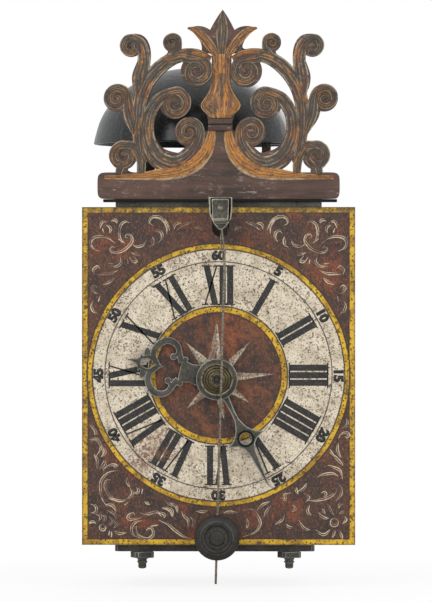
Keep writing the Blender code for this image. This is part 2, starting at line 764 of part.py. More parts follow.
def build_going_train():
    great_phase = UP
    centre_pinion_phase = mesh_phase(GREAT_TEETH, great_phase, CENTRE_PINION, UP)
    wheel(
        "going_great_wheel", GREAT_TEETH, GREAT_MODULE, ARBOR_RADIUS + BORE_GAP,
        GREAT_Y, (GREAT[0], 0, GREAT[1]), great_phase,
    )
    start = FRONT_BAR_Y + PIVOT_END
    end = MIDDLE_BAR_Y + BAR_THICK - PIVOT_END
    place = (GREAT[0], 0, GREAT[1])
    node("going_great_arbor", turned(shaft(start, end), 10, "Y"), STEEL, place)
    pulley("going_rope_pulley", GOING_PULLEY_Y, place)

    place = (CENTRE[0], 0, CENTRE[1])
    centre_start = MINUTE_HAND_Y - 6 * MM
    shoulder = FRONT_BAR_Y + BAR_THICK + SEAT_GAP
    centre = node(
        "centre_arbor",
        turned(
            (
                (0, end),
                (PIVOT_RADIUS, end),
                (PIVOT_RADIUS, end - PIVOT_LENGTH),
                (ARBOR_RADIUS, end - PIVOT_LENGTH),
                (ARBOR_RADIUS, shoulder),
                (CENTRE_ARBOR_RADIUS, shoulder),
                (CENTRE_ARBOR_RADIUS, centre_start),
                (0, centre_start),
            ),
            12,
            "Y",
        ),
        STEEL,
        place,
    )
    leaves = turned_points(pinion_outline(CENTRE_PINION, GREAT_MODULE), centre_pinion_phase)
    join(centre, prism([leaves], GREAT_Y - PINION_LEAD, GREAT_Y - PINION_LEAD + PINION_LENGTH))
    finished(centre, STEEL)

    wheel("centre_wheel", CENTRE_TEETH, CENTRE_MODULE, ARBOR_RADIUS + BORE_GAP, CENTRE_WHEEL_Y, place, UP)
    place = (CONTRATE[0], 0, CONTRATE[1])
    phase = mesh_phase(CENTRE_TEETH, UP, CONTRATE_PINION, CONTRATE_ANGLE)
    arbor(
        "contrate_arbor", CONTRATE_PINION, CENTRE_MODULE, CENTRE_WHEEL_Y - PINION_LEAD,
        start, end, place, phase,
    )
    pitch_y = CROWN_AXIS_Y + CROWN_PINION_RADIUS + TOOTH_CLEARANCE * MM
    tip_y = pitch_y - CONTRATE_RISE
    root_y = tip_y + CONTRATE_TOOTH
    teeth = ((0, 0), (0.5, CONTRATE_TOOTH))
    band = crown_band(CONTRATE_RADIUS, CONTRATE_RIM, CONTRATE_TEETH, teeth, -CONTRATE_TOOTH)
    contrate = node("contrate_wheel", band, IRON, (CONTRATE[0], root_y, CONTRATE[1]))
    contrate.rotation_euler = (UP, 0, 0)
    bore = ARBOR_RADIUS + BORE_GAP
    rim = CONTRATE_RADIUS - CONTRATE_RIM / 2
    web = [circle(rim + 1 * MM, 20), circle(bore, 10)]
    join(contrate, prism(web, -CONTRATE_TOOTH - 1 * MM, -0.4 * MM, "XY"))
    finished(contrate, IRON)

    # The crown wheel stands on a vertical arbor in front of the contrate teeth.
    tip = below(CROWN_TIP_DROP)
    base = tip - CROWN_BAND
    saw = ((0.08, tip), (0.92, tip - CROWN_TOOTH))
    crown = node(
        "crown_wheel",
        crown_band(CROWN_RADIUS, CROWN_WALL, CROWN_TEETH, saw, base),
        IRON,
        (PENDULUM_X, CROWN_AXIS_Y, 0),
    )
    inside = CROWN_RADIUS - CROWN_WALL / 2
    web = [circle(inside + 0.5 * MM, 16), circle(CROWN_ARBOR_RADIUS + BORE_GAP, 10)]
    join(crown, prism(web, base + 0.4 * MM, base + 0.4 * MM + CROWN_WEB, "XY"))
    finished(crown, IRON)
    middle = CONTRATE[1] + CONTRATE_RADIUS
    low = middle - PINION_LENGTH
    profile = (
        (0, tip + 3.2 * MM),
        (CROWN_PIVOT_RADIUS, tip + 3.2 * MM),
        (CROWN_PIVOT_RADIUS, tip + 0.2 * MM),
        (CROWN_ARBOR_RADIUS, tip - 0.3 * MM),
        (CROWN_ARBOR_RADIUS, low - 2 * MM),
        (CROWN_PIVOT_RADIUS, low - 2 * MM),
        (CROWN_PIVOT_RADIUS, low - 4.5 * MM),
        (0, low - 4.5 * MM),
    )
    arbor_obj = node("crown_arbor", turned(profile, 10, "Z"), STEEL, (PENDULUM_X, CROWN_AXIS_Y, 0))
    # A tooth of the contrate wheel stands at the middle of its pitch, so a gap faces it.
    half_turn = math.pi / CROWN_PINION
    top_tooth = (UP * CONTRATE_TEETH / (2 * math.pi) - 0.5) % 1
    lead = top_tooth * 2 * math.pi / CROWN_PINION
    leaves = turned_points(pinion_outline(CROWN_PINION, CROWN_MODULE), UP + half_turn - lead)
    join(arbor_obj, prism([leaves], low, middle + PINION_LENGTH / 2, "XY"))
    finished(arbor_obj, STEEL)

    arm = 4 * MM
    potence_top = low - 2.4 * MM
    potence = node(
        "crown_potence",
        block(
            PENDULUM_X - arm, PENDULUM_X + arm, FRONT_BAR_Y + BAR_THICK + SEAT_GAP,
            CROWN_AXIS_Y + 3 * MM, potence_top - 4.4 * MM, potence_top,
        ),
        IRON,
    )
    cut(
        potence,
        rod(
            CROWN_PIVOT_RADIUS + BORE_GAP, potence_top - 3 * MM, potence_top + 1 * MM, "XY",
            (PENDULUM_X, CROWN_AXIS_Y),
        ),
    )
    finished(potence, IRON)
    high = VERGE_Z - VERGE_RADIUS - 0.5 * MM
    under = tip + 0.6 * MM
    leg = PENDULUM_X - 26 * MM
    ceiling = TOP_FACE - TOP_PLATE_THICK - SEAT_GAP
    outline = [
        (leg, under), (PENDULUM_X + 4 * MM, under), (PENDULUM_X + 4 * MM, high),
        (leg + 7 * MM, high), (leg + 7 * MM, ceiling), (leg, ceiling),
    ]
    top_cock = node("crown_top_cock", prism([outline], CROWN_AXIS_Y - arm, CROWN_AXIS_Y + arm), IRON)
    cut(
        top_cock,
        rod(
            CROWN_PIVOT_RADIUS + BORE_GAP, under - 1 * MM, high + 1 * MM, "XY",
            (PENDULUM_X, CROWN_AXIS_Y),
        ),
    )
    finished(top_cock, IRON)


def build_motion_work():
    place = (CENTRE[0], 0, CENTRE[1])
    bore = CENTRE_ARBOR_RADIUS + BORE_GAP
    pipe_end = MINUTE_HAND_Y - HAND_THICK - WASHER_THICK - 1 * MM
    cannon = node(
        "cannon_pinion",
        prism(
            [turned_points(pinion_outline(CANNON_TEETH, MOTION_MODULE), DOWN), circle(bore, 12)],
            CANNON_Y, CANNON_Y + MOTION_THICK,
        ),
        STEEL,
        place,
    )
    join(cannon, prism([circle(CANNON_RADIUS, 14), circle(bore, 12)], pipe_end, CANNON_Y + 1 * MM))
    finished(cannon, STEEL)

    stud = (MOTION_STUD[0], 0, MOTION_STUD[1])
    bore = MOTION_STUD_RADIUS + BORE_GAP
    phase = mesh_phase(CANNON_TEETH, DOWN, MINUTE_WHEEL_TEETH, DOWN)
    loops = [turned_points(wheel_outline(MINUTE_WHEEL_TEETH, MOTION_MODULE), phase), circle(bore, 12)]
    minute = node("minute_wheel", prism(loops, CANNON_Y, CANNON_Y + MOTION_THICK), IRON, stud)
    loops = [turned_points(pinion_outline(MINUTE_PINION, MOTION_MODULE), UP), circle(bore, 12)]
    join(minute, prism(loops, HOUR_WHEEL_Y, CANNON_Y + 0.5 * MM))
    finished(minute, IRON)

    bore = CANNON_RADIUS + BORE_GAP
    phase = mesh_phase(MINUTE_PINION, UP, HOUR_TEETH, UP)
    loops = [turned_points(wheel_outline(HOUR_TEETH, MOTION_MODULE), phase), circle(bore, 14)]
    hour = node("hour_wheel", prism(loops, HOUR_WHEEL_Y, HOUR_WHEEL_Y + MOTION_THICK), IRON, place)
    pipe = [circle(HOUR_PIPE_RADIUS, 14), circle(bore, 14)]
    join(hour, prism(pipe, HOUR_HAND_Y - HAND_THICK - 0.5 * MM, HOUR_WHEEL_Y + 0.5 * MM))
    finished(hour, IRON)


def ribbon(points, samples=5):
    # A strip along smooth points (x, z, width), as a closed outline.
    line = []
    for i in range(len(points) - 1):
        p0 = points[max(i - 1, 0)]
        p1 = points[i]
        p2 = points[i + 1]
        p3 = points[min(i + 2, len(points) - 1)]
        for k in range(samples):
            t = k / samples
            line.append(
                tuple(
                    0.5 * (2 * b + (c - a) * t + (2 * a - 5 * b + 4 * c - d) * t * t
                           + (3 * b - a - 3 * c + d) * t * t * t)
                    for a, b, c, d in zip(p0, p1, p2, p3)
                )
            )
    line.append(points[-1])
    left = []
    right = []
    for i, (x, z, width) in enumerate(line):
        before = line[max(i - 1, 0)]
        after = line[min(i + 1, len(line) - 1)]
        dx = after[0] - before[0]
        dz = after[1] - before[1]
        length = math.hypot(dx, dz)
        nx = -dz / length * width / 2
        nz = dx / length * width / 2
        left.append((x + nx, z + nz))
        right.append((x - nx, z - nz))
    return left + right[::-1]


def build_hands():
    # Both hands are drawn pointing up, then turned clockwise.
    hub = HOUR_PIPE_RADIUS + BORE_GAP
    thick = HAND_THICK
    start = HOUR_HAND_Y - thick
    place = (CENTRE[0], 0, CENTRE[1])
    loops = [circle(HUB_RADIUS, 20), circle(hub, 14)]
    hour = node("hour_hand", prism(loops, start, start + thick), IRON, place)
    neck = [(7.8, 8), (7.8, 15), (6.9, 20), (8, 25), (9.4, 27.4), (5, 28.8)]
    neck += [(-x, z) for x, z in neck[::-1]]
    join(hour, prism([in_mm(neck)], start, start + thick))
    for side in (-1, 1):
        lobe = [(side * 6.5, 28.4, 5), (side * 12, 31.6, 4.6), (side * 17, 33.6, 4.4), (side * 20, 38, 5),
                (side * 19.8, 44.3, 5.4), (side * 13.8, 49.8, 5), (side * 7.8, 50.8, 4.7),
                (side * 3.3, 48.4, 4.6), (side * 0.5, 45, 3.6)]
        join(hour, prism([in_mm(ribbon(lobe, 2))], start, start + thick))
        spur = [(side * 12.6, 32.4, 3.4), (side * 10.6, 34, 3), (side * 9.6, 35.4, 3)]
        join(hour, prism([in_mm(ribbon(spur, 1))], start, start + thick))
        for x, z, radius in HOUR_HAND_KNOBS:
            join(hour, prism([circle(radius, 10, (side * x, z))], start, start + thick))
        front = [(side * 4.6, 49.6, 4.4), (side * 5.2, 54.4, 3), (side * 3, 59, 2.8), (side * 0.4, 62, 2)]
        join(hour, prism([in_mm(ribbon(front, 2))], start, start + thick))
        barb = [(side * 2.4, 56.6), (side * 7.4, 59.4), (side * 2.2, 61)]
        join(hour, prism([in_mm(barb[::side])], start, start + thick))
    join(hour, prism([in_mm([(-2.4, 58.5), (2.4, 58.5), (0.5, 67.5), (-0.5, 67.5)])], start, start + thick))
    join(hour, prism([in_mm([(0, 41.5), (2.4, 45.5), (-2.4, 45.5)])], start, start + thick))
    hour.rotation_euler = (0, HOUR_ANGLE, 0)
    finished(hour, IRON)

    start = MINUTE_HAND_Y - thick
    right = [(2.7, 8), (2.4, 17), (1.6, 27), (1.9, 34), (4.4, 41), (8.6, 46.3), (14.6, 50), (7.8, 52.4),
             (4.3, 56), (2.9, 61), (2.0, 71), (1.15, 81), (0.7, 87)]
    outline = in_mm(right + [(0, 89.4)] + [(-x, z) for x, z in right[::-1]])
    loops = [outline, circle(MINUTE_EYE, 16, (0, MINUTE_EYE_REACH))]
    minute = node("minute_hand", prism(loops, start, start + thick), IRON, place)
    hub = [circle(HUB_RADIUS, 20), circle(CANNON_RADIUS + BORE_GAP, 14)]
    join(minute, prism(hub, start, start + thick))
    cut(minute, rod(CANNON_RADIUS + BORE_GAP, start - 1 * MM, start + thick + 1 * MM, count=14))
    minute.rotation_euler = (0, MINUTE_ANGLE, 0)
    finished(minute, IRON)

    back = start - SEAT_GAP
    washer = [circle(WASHER_RADIUS, 28), circle(CANNON_RADIUS + BORE_GAP, 14)]
    node("hand_washer", prism(washer, back - WASHER_THICK, back), IRON, place)
    back -= WASHER_THICK + SEAT_GAP
    profile = (
        (CANNON_RADIUS + BORE_GAP, back),
        (CAP_RADIUS, back),
        (CAP_RADIUS, back - 0.9 * MM),
        (CAP_RADIUS * 0.85, back - 1.5 * MM),
        (CAP_RADIUS * 0.7, back - 1.5 * MM),
        (CAP_RADIUS * 0.53, back - 2.9 * MM),
        (CAP_RADIUS * 0.3, back - CAP_HEIGHT),
        (CAP_HOLE, back - CAP_HEIGHT),
        (CAP_HOLE, back - 2.3 * MM),
        (CANNON_RADIUS + BORE_GAP, back - 2.3 * MM),
    )
    node("hand_cap", turned(profile, 18, "Y", True), BRASS, place)


def build_pendulum():
    place = (PENDULUM_X, 0, VERGE_Z)
    front = COCK_PLATE_Y - COCK_PLATE_THICK + 0.2 * MM
    rear = VERGE_COCK_Y + VERGE_COCK_THICK - 0.3 * MM
    profile = (
        (0, rear),
        (VERGE_PIVOT_RADIUS, rear),
        (VERGE_PIVOT_RADIUS, VERGE_COCK_Y - SEAT_GAP),
        (VERGE_RADIUS, VERGE_COCK_Y - SEAT_GAP),
        (VERGE_RADIUS, COCK_PLATE_Y + SEAT_GAP),
        (VERGE_PIVOT_RADIUS, COCK_PLATE_Y + SEAT_GAP),
        (VERGE_PIVOT_RADIUS, front),
        (0, front),
    )
    verge = node("verge", turned(profile, 12, "Y"), STEEL, place)
    for side in (-1, 1):
        middle = CROWN_AXIS_Y + side * CROWN_RADIUS
        half = PALLET_THICK / 2
        flag = [(-half, 0), (half, 0), (half, -PALLET_REACH), (-half, -PALLET_REACH)]
        join(
            verge,
            prism(
                [turned_points(flag, side * PALLET_ANGLE)],
                middle - PALLET_WIDTH / 2, middle + PALLET_WIDTH / 2,
            ),
        )
    finished(verge, STEEL)

    bore = VERGE_RADIUS + BORE_GAP
    half = COLLET_LENGTH / 2
    collet = node(
        "pendulum_rod",
        prism([circle(COLLET_RADIUS, 16), circle(bore, 12)], ROD_Y - half, ROD_Y + half),
        STEEL,
        place,
    )
    line = [(PENDULUM_X, below(PENDULUM_DROP + 2.5 * MM))]
    line += [(x * MM, TOP_FACE + z * MM) for x, z in ROD_BEND]
    line.append((ROD_END[0] * MM, TOP_FACE + ROD_END[1] * MM))
    join(collet, swept(line))
    finished(collet, STEEL)

    top = line[-2]
    low = line[-1]
    share = (below(BOB_DROP) - low[1]) / (top[1] - low[1])
    bob_x = low[0] + share * (top[0] - low[0])
    lean = math.atan2(top[0] - low[0], top[1] - low[1])
    half = BOB_THICK / 2
    face = (
        (0, half - 0.6 * MM),
        (5.2 * MM, half - 0.6 * MM),
        (6.8 * MM, half - 1.8 * MM),
        (9.2 * MM, half - 1.8 * MM),
        (10.4 * MM, half - 0.5 * MM),
        (BOB_RADIUS, 1.8 * MM),
    )
    profile = [(r, ROD_Y + t) for r, t in face]
    profile += [(r, ROD_Y - t) for r, t in face[::-1]]
    bob = node("pendulum_bob", turned(profile, 22, "Y"), IRON, (bob_x, 0, below(BOB_DROP)))
    bore = prism(
        [circle(ROD_RADIUS + BORE_GAP, 10, (0, ROD_Y))], -BOB_RADIUS - 2 * MM, BOB_RADIUS + 2 * MM, "XY"
    )
    cut(bob, bore)
    bob.rotation_euler = (0, lean, 0)
    finished(bob, IRON)

    # The front cock is a bracket let into the edge of the top plate.
    shield = in_mm([(-8.8, 3.2), (8.8, 3.2), (8.9, -6), (8.0, -13), (4.4, -18.6), (1.6, -21),
                    (-1.0, -21), (-4.6, -17), (-8.0, -10)])
    shield = shifted(shield, PENDULUM_X, TOP_FACE)
    hole = circle(VERGE_PIVOT_RADIUS + BORE_GAP, 10, (PENDULUM_X, VERGE_Z))
    cock = node(
        "pendulum_cock", prism([shield, hole], COCK_PLATE_Y - COCK_PLATE_THICK, COCK_PLATE_Y), IRON
    )
    pad = shifted(in_mm([(-6, 2), (6, 2), (6, -14.2), (-6, -14.2)]), PENDULUM_X, TOP_FACE)
    face = COCK_PLATE_Y - COCK_PLATE_THICK
    join(cock, prism([pad, hole], face - COCK_PAD_THICK, face + 0.5 * MM))
    arm = COCK_ARM_WIDTH / 2
    join(
        cock,
        block(
            PENDULUM_X - arm, PENDULUM_X + arm, COCK_PLATE_Y - 1 * MM, PLATE_FRONT + COCK_TONGUE - SEAT_GAP,
            TOP_FACE - 0.4 * MM - COCK_ARM_HEIGHT, TOP_FACE - 0.4 * MM,
        ),
    )
    finished(cock, IRON)

    ceiling = TOP_FACE - TOP_PLATE_THICK - SEAT_GAP
    wing = 6 * MM
    plate = [(PENDULUM_X - wing, VERGE_Z - 5 * MM), (PENDULUM_X + wing, VERGE_Z - 5 * MM),
             (PENDULUM_X + wing, ceiling), (PENDULUM_X - wing, ceiling)]
    hole = circle(VERGE_PIVOT_RADIUS + BORE_GAP, 10, (PENDULUM_X, VERGE_Z))
    node("verge_cock", prism([plate, hole], VERGE_COCK_Y, VERGE_COCK_Y + VERGE_COCK_THICK), IRON)


def swept(line):
    # A round rod along the line of the pendulum, in the pendulum's own place.
    curve = bpy.data.curves.new("rod_line", "CURVE")
    curve.dimensions = "3D"
    curve.bevel_depth = ROD_RADIUS
    curve.bevel_resolution = 1
    curve.use_fill_caps = True
    spline = curve.splines.new("POLY")
    spline.points.add(len(line) - 1)
    for point, (x, z) in zip(spline.points, line):
        point.co = (x - PENDULUM_X, ROD_Y, z - VERGE_Z, 1)
    guide = bpy.data.objects.new("rod_line", curve)
    bpy.context.scene.collection.objects.link(guide)
    graph = bpy.context.evaluated_depsgraph_get()
    mesh = bpy.data.meshes.new_from_object(guide.evaluated_get(graph))
    bm = bmesh.new()
    bm.from_mesh(mesh)
    bmesh.ops.remove_doubles(bm, verts=bm.verts, dist=0.000001)
    bpy.data.objects.remove(guide)
    return bm


def build_strike_train():
    place = (GREAT[0], 0, GREAT[1])
    phase = mesh_phase(GREAT_TEETH, UP, CENTRE_PINION, UP)
    bore = ARBOR_RADIUS + BORE_GAP
    wheel("strike_great_wheel", GREAT_TEETH, GREAT_MODULE, bore, STRIKE_GREAT_Y, place, UP)
    start = MIDDLE_BAR_Y + BAR_THICK - 0.3 * MM
    end = COUNT_Y + COUNT_GEAR_THICK + 0.6 * MM
    arbor_obj = node(
        "strike_great_arbor",
        turned(
            (
                (0, end),
                (ARBOR_RADIUS, end),
                (ARBOR_RADIUS, start + 0.6 * MM),
                (PIVOT_RADIUS, start + 0.6 * MM),
                (PIVOT_RADIUS, start),
                (0, start),
            ),
            10,
            "Y",
        ),
        STEEL,
        place,
    )
    leaves = turned_points(pinion_outline(COUNT_PINION, COUNT_MODULE), UP)
    join(arbor_obj, prism([leaves], COUNT_Y, COUNT_Y + COUNT_GEAR_THICK - 0.8 * MM))
    finished(arbor_obj, STEEL)
    pulley("strike_rope_pulley", STRIKE_PULLEY_Y, place)

    place = (PIN_WHEEL[0], 0, PIN_WHEEL[1])
    start = MIDDLE_BAR_Y + BAR_THICK + 0.5 * MM
    end = REAR_BAR_Y + BAR_THICK - PIVOT_END
    arbor(
        "pin_wheel_arbor", CENTRE_PINION, GREAT_MODULE, STRIKE_GREAT_Y - PINION_LEAD,
        start, end, place, phase,
    )
    pins = wheel(
        "pin_wheel", PIN_WHEEL_TEETH, PIN_WHEEL_MODULE, ARBOR_RADIUS + BORE_GAP, PIN_WHEEL_Y, place, UP,
        PIN_CIRCLE - 2.5 * MM,
    )
    for i in range(PIN_COUNT):
        angle = 2 * math.pi * i / PIN_COUNT
        spot = (PIN_CIRCLE * math.cos(angle), PIN_CIRCLE * math.sin(angle))
        join(pins, rod(PIN_RADIUS, PIN_WHEEL_Y - PIN_LENGTH, PIN_WHEEL_Y + 1 * MM, "XZ", spot, 6))
    finished(pins, IRON)

    place = (HOOP_AXIS[0], 0, HOOP_AXIS[1])
    phase = mesh_phase(PIN_WHEEL_TEETH, UP, HOOP_PINION, UP)
    start = MIDDLE_BAR_Y + PIVOT_END
    arbor("hoop_arbor", HOOP_PINION, PIN_WHEEL_MODULE, PIN_WHEEL_Y - PINION_LEAD, start, end, place, phase)
    hoop = wheel("hoop_wheel", HOOP_TEETH, HOOP_MODULE, ARBOR_RADIUS + BORE_GAP, HOOP_WHEEL_Y, place, UP)
    inner = LOCK_RING_RADIUS - LOCK_RING_WALL
    outline = arc((0, 0), LOCK_RING_RADIUS, 0, LOCK_RING_ARC, 14)
    outline += arc((0, 0), inner, LOCK_RING_ARC, 0, 14)
    join(hoop, prism([outline], HOOP_WHEEL_Y - LOCK_RING_HEIGHT, HOOP_WHEEL_Y + 1 * MM))
    finished(hoop, IRON)

    place = (FLY_AXIS[0], 0, FLY_AXIS[1])
    phase = mesh_phase(HOOP_TEETH, UP, FLY_PINION, UP)
    fly = arbor("fly", FLY_PINION, HOOP_MODULE, HOOP_WHEEL_Y - PINION_LEAD, start, end, place, phase)
    half = FLY_THICK / 2
    join(fly, block(-FLY_RADIUS, FLY_RADIUS, FLY_START + 3 * MM, FLY_END, -half, half))
    finished(fly, STEEL)

    place = (COUNT_AXIS[0], 0, COUNT_AXIS[1])
    phase = mesh_phase(COUNT_PINION, UP, COUNT_TEETH, UP)
    bore = circle(COUNT_STUD_RADIUS + BORE_GAP, 12)
    loops = [turned_points(wheel_outline(COUNT_TEETH, COUNT_MODULE), phase), bore]
    count = node("count_wheel", prism(loops, COUNT_Y, COUNT_Y + COUNT_GEAR_THICK), IRON, place)
    blows = 0
    outline = []
    per_blow = 2 * math.pi / 78
    notch = COUNT_NOTCH_WIDTH / COUNT_DISC_RADIUS
    for hour in range(1, 13):
        start_angle = blows * per_blow + notch
        blows += hour
        end_angle = blows * per_blow
        outline += arc((0, 0), COUNT_DISC_RADIUS, start_angle, end_angle, max(1, hour // 2))
        outline += arc((0, 0), COUNT_DISC_RADIUS - COUNT_NOTCH_DEPTH, end_angle, end_angle + notch, 1)
    disc_start = COUNT_Y + COUNT_GEAR_THICK - 0.5 * MM
    join(count, prism([outline, bore], disc_start, disc_start + COUNT_DISC_THICK + 0.5 * MM))
    finished(count, IRON)


def build_levers():
    place = (HAMMER_AXIS[0], 0, HAMMER_AXIS[1])
    start = MIDDLE_BAR_Y + PIVOT_END
    end = REAR_BAR_Y + BAR_THICK - PIVOT_END
    hammer = node("hammer", rod(LEVER_RADIUS, start, end), STEEL, place)
    rim = HAMMER_DROP + BELL_RIM
    face = BELL_X + BELL_RADIUS - BELL_WALL - HAMMER_REST_GAP - HAMMER_X
    arm = in_mm([(-3.5, -3), (3.5, -3), (4.6, 100)])
    arm += [(6.4 * MM, rim + 4 * MM), (-0.6 * MM, rim + 4 * MM), (-2.4 * MM, 100 * MM)]
    join(hammer, prism([arm], HAMMER_ARM_Y, HAMMER_ARM_Y + HAMMER_ARM_THICK))
    head_top = rim + HAMMER_HEAD_HEIGHT
    head = [(0.5 * MM, rim), (face, rim), (face, head_top), (0.5 * MM, head_top)]
    middle = HAMMER_ARM_Y + HAMMER_ARM_THICK / 2
    join(hammer, prism([head], middle - HAMMER_HEAD_DEPTH / 2, middle + HAMMER_HEAD_DEPTH / 2))
    tail = in_mm([(3, -2), (2.6, 2.6), (-2.6, 2.6), (-14.5, -18.5), (-12.5, -21.5), (1, -3)])
    join(hammer, prism([tail], HAMMER_TAIL_Y, HAMMER_TAIL_Y + HAMMER_TAIL_THICK))
    finished(hammer, STEEL)

    ceiling = TOP_FACE - TOP_PLATE_THICK - SEAT_GAP
    leaf = [(46, 0), (58, 0), (58, -2.2), (48, -2.2), (45.2, -44), (43.8, -44)]
    outline = [(x * MM, ceiling + z * MM) for x, z in leaf]
    node("hammer_spring", prism([outline], HAMMER_ARM_Y - 2 * MM, HAMMER_ARM_Y + 6 * MM), STEEL)

    place = (LOCKING_AXIS[0], 0, LOCKING_AXIS[1])
    count_end = COUNT_Y + COUNT_GEAR_THICK + COUNT_DISC_THICK
    pin = rod(LEVER_RADIUS, MIDDLE_BAR_Y + PIVOT_END, count_end + 1 * MM)
    locking = node("locking_lever", pin, STEEL, place)
    detent = in_mm([(-3, -3), (3, -3), (15.2, -6.2), (15.2, -2.6), (3, 3), (-3, 3)])
    join(locking, prism([detent], HOOP_WHEEL_Y - LOCK_RING_HEIGHT, HOOP_WHEEL_Y - 1 * MM))
    feeler = in_mm([(-3, 3), (-3, -3), (16.5, -32), (20, -35.5), (21.5, -30), (3, 3)])
    join(locking, prism([feeler], count_end - COUNT_DISC_THICK, count_end))
    finished(locking, STEEL)

    place = (LIFTING_AXIS[0], 0, LIFTING_AXIS[1])
    front = FRONT_BAR_Y - FINGER_GAP - FINGER_THICK
    rear = MIDDLE_BAR_Y + BAR_THICK + 5 * MM
    lifting = node("lifting_lever", rod(LEVER_RADIUS, front - 0.6 * MM, rear + 0.6 * MM), STEEL, place)
    finger = in_mm([(-3, -3), (2, -3), (10.5, -40), (13, -44), (14.5, -42), (3, 3), (-3, 3)])
    join(lifting, prism([finger], front, front + FINGER_THICK))
    lug = in_mm([(-3, -3), (3, -3), (10, 4), (10, 9), (7, 9), (2, 3), (-3, 3)])
    join(lifting, prism([lug], rear - 3 * MM, rear))
    finished(lifting, STEEL)


def bell_radius(share):
    # Half ellipse with a slightly flared lip; share 0 is the rim and 1 the crown.
    return BELL_RADIUS * (math.sqrt(max(0, 1 - (share * 0.985) ** 2)) * 0.985 + 0.015 * max(0, 1 - 6 * share))


def build_bell():
    shares = (0, 0.14, 0.42, 0.67, 0.85, 0.96)
    outer = [(bell_radius(s), s * BELL_HEIGHT) for s in shares]
    outer += [(BELL_RADIUS * 0.1, BELL_HEIGHT), (BELL_HOLE, BELL_HEIGHT)]
    inner = [(BELL_HOLE, BELL_HEIGHT - BELL_WALL), (BELL_RADIUS * 0.1, BELL_HEIGHT - BELL_WALL)]
    inner += [
        (bell_radius(s) - BELL_WALL, s * (BELL_HEIGHT - BELL_WALL)) for s in shares[:0:-1]
    ]
    inner.append((bell_radius(0) - BELL_WALL, 0))
    profile = outer + inner
    rim = TOP_FACE + BELL_RIM
    node("bell", turned(profile, BELL_STEPS, "Z", True), BELL_METAL, (BELL_X, BELL_Y, rim))

    top = STAND_TOP
    seat = BELL_RIM + BELL_HEIGHT - BELL_WALL - SEAT_GAP
    strap = [(-64, 0.3), (-50, 0.3), (-50, 58), (-13, 90), (-13, 99.5), (-26, 99.5), (-64, 70)]
    outline = [(x * MM, TOP_FACE + z * MM) for x, z in strap]
    stand = node("bell_stand", prism([outline], BELL_Y - STAND_THICK / 2, BELL_Y + STAND_THICK / 2), IRON)
    join(
        stand,
        block(-64 * MM, -50 * MM, BELL_Y - 1 * MM, BELL_Y + 22 * MM, TOP_FACE + SEAT_GAP, TOP_FACE + 4 * MM),
        rod(5.5 * MM, TOP_FACE + top - 6 * MM, TOP_FACE + seat, "XY", (BELL_X, BELL_Y)),
        rod(
            STAND_STUD, TOP_FACE + seat - 3 * MM, TOP_FACE + BELL_RIM + BELL_HEIGHT + 8 * MM, "XY",
            (BELL_X, BELL_Y),
        ),
    )
    finished(stand, IRON)
    half = BELL_NUT_SIDE / 2
    square = [(-half, -half), (half, -half), (half, half), (-half, half)]
    base = TOP_FACE + BELL_RIM + BELL_HEIGHT + SEAT_GAP
    node(
        "bell_nut",
        prism([square, circle(STAND_STUD + BORE_GAP, 12)], base, base + BELL_NUT_HEIGHT, "XY"),
        IRON,
        (BELL_X, BELL_Y, 0),
    )


# Half of the crest, in millimetres from its axis and from its lower edge
CREST_DISCS = (
    (68.2, 115.4, 8.6),
    (37.5, 117.8, 7.1),
    (18.6, 96.2, 12.4),
    (78.2, 75.8, 10.1),
    (72.4, 32.5, 10.5),
    (34.2, 71.7, 11.8),
    (23.6, 50.5, 10.9),
)
CREST_RIBBONS = (
    ((58.4, 27.4, 6.8), (61, 44.3, 8.6), (61.7, 59.3, 9.4), (60.8, 71.5, 10.1), (57.6, 83.7, 10.9),
     (51.2, 94, 10.9), (41.5, 103, 10.1), (31.3, 108.1, 9.4), (20.1, 109.6, 7.5), (11.6, 106.6, 6.8)),
    ((35.9, 81.1, 5.2), (45.9, 75.6, 9.4), (52.8, 64.9, 9.4), (54.8, 53.7, 10.1), (53.1, 42.4, 11.6),
     (46.8, 31.6, 16.1), (33.2, 26.5, 16.9), (18.3, 27.4, 16.9)),
    ((36.7, 113.7, 6.8), (36.5, 107.7, 9.4), (37.4, 104.9, 9.6)),
    ((69.6, 121.2, 5.6), (61.5, 119.7, 9), (57.6, 111.8, 8.6), (58.5, 102.4, 9.8), (60.9, 92.1, 13.1),
     (60.2, 83.7, 11.2)),
    ((70.8, 73.4, 8.6), (69.2, 65.9, 11.6), (66.7, 58.4, 9.8), (63.4, 49.9, 3.4)),
    ((66, 37.5, 8.2), (59.7, 34.6, 7.5)),
    ((73, 27.4, 8.6), (72.8, 17.1, 8.6)),
)
CREST_MIDDLE = (
    (48, 18.1), (27, 38), (18.5, 47), (8.9, 52.2), (9.1, 61.2), (12, 66.4), (15.8, 70.6), (9.3, 80.3),
    (7.2, 87.4), (7.5, 109), (15, 111.8), (15.4, 117.4), (19.2, 123.8), (26.3, 128.7), (18.6, 130.6),
    (12.6, 129.4), (9.2, 127.2), (4.5, 136.2),
)
CREST_TIP = (0, 142.4)


def crest_piece(points, side, base):
    return [(side * x * MM + CREST_LEAN * z * MM, base + z * MM) for x, z in points]


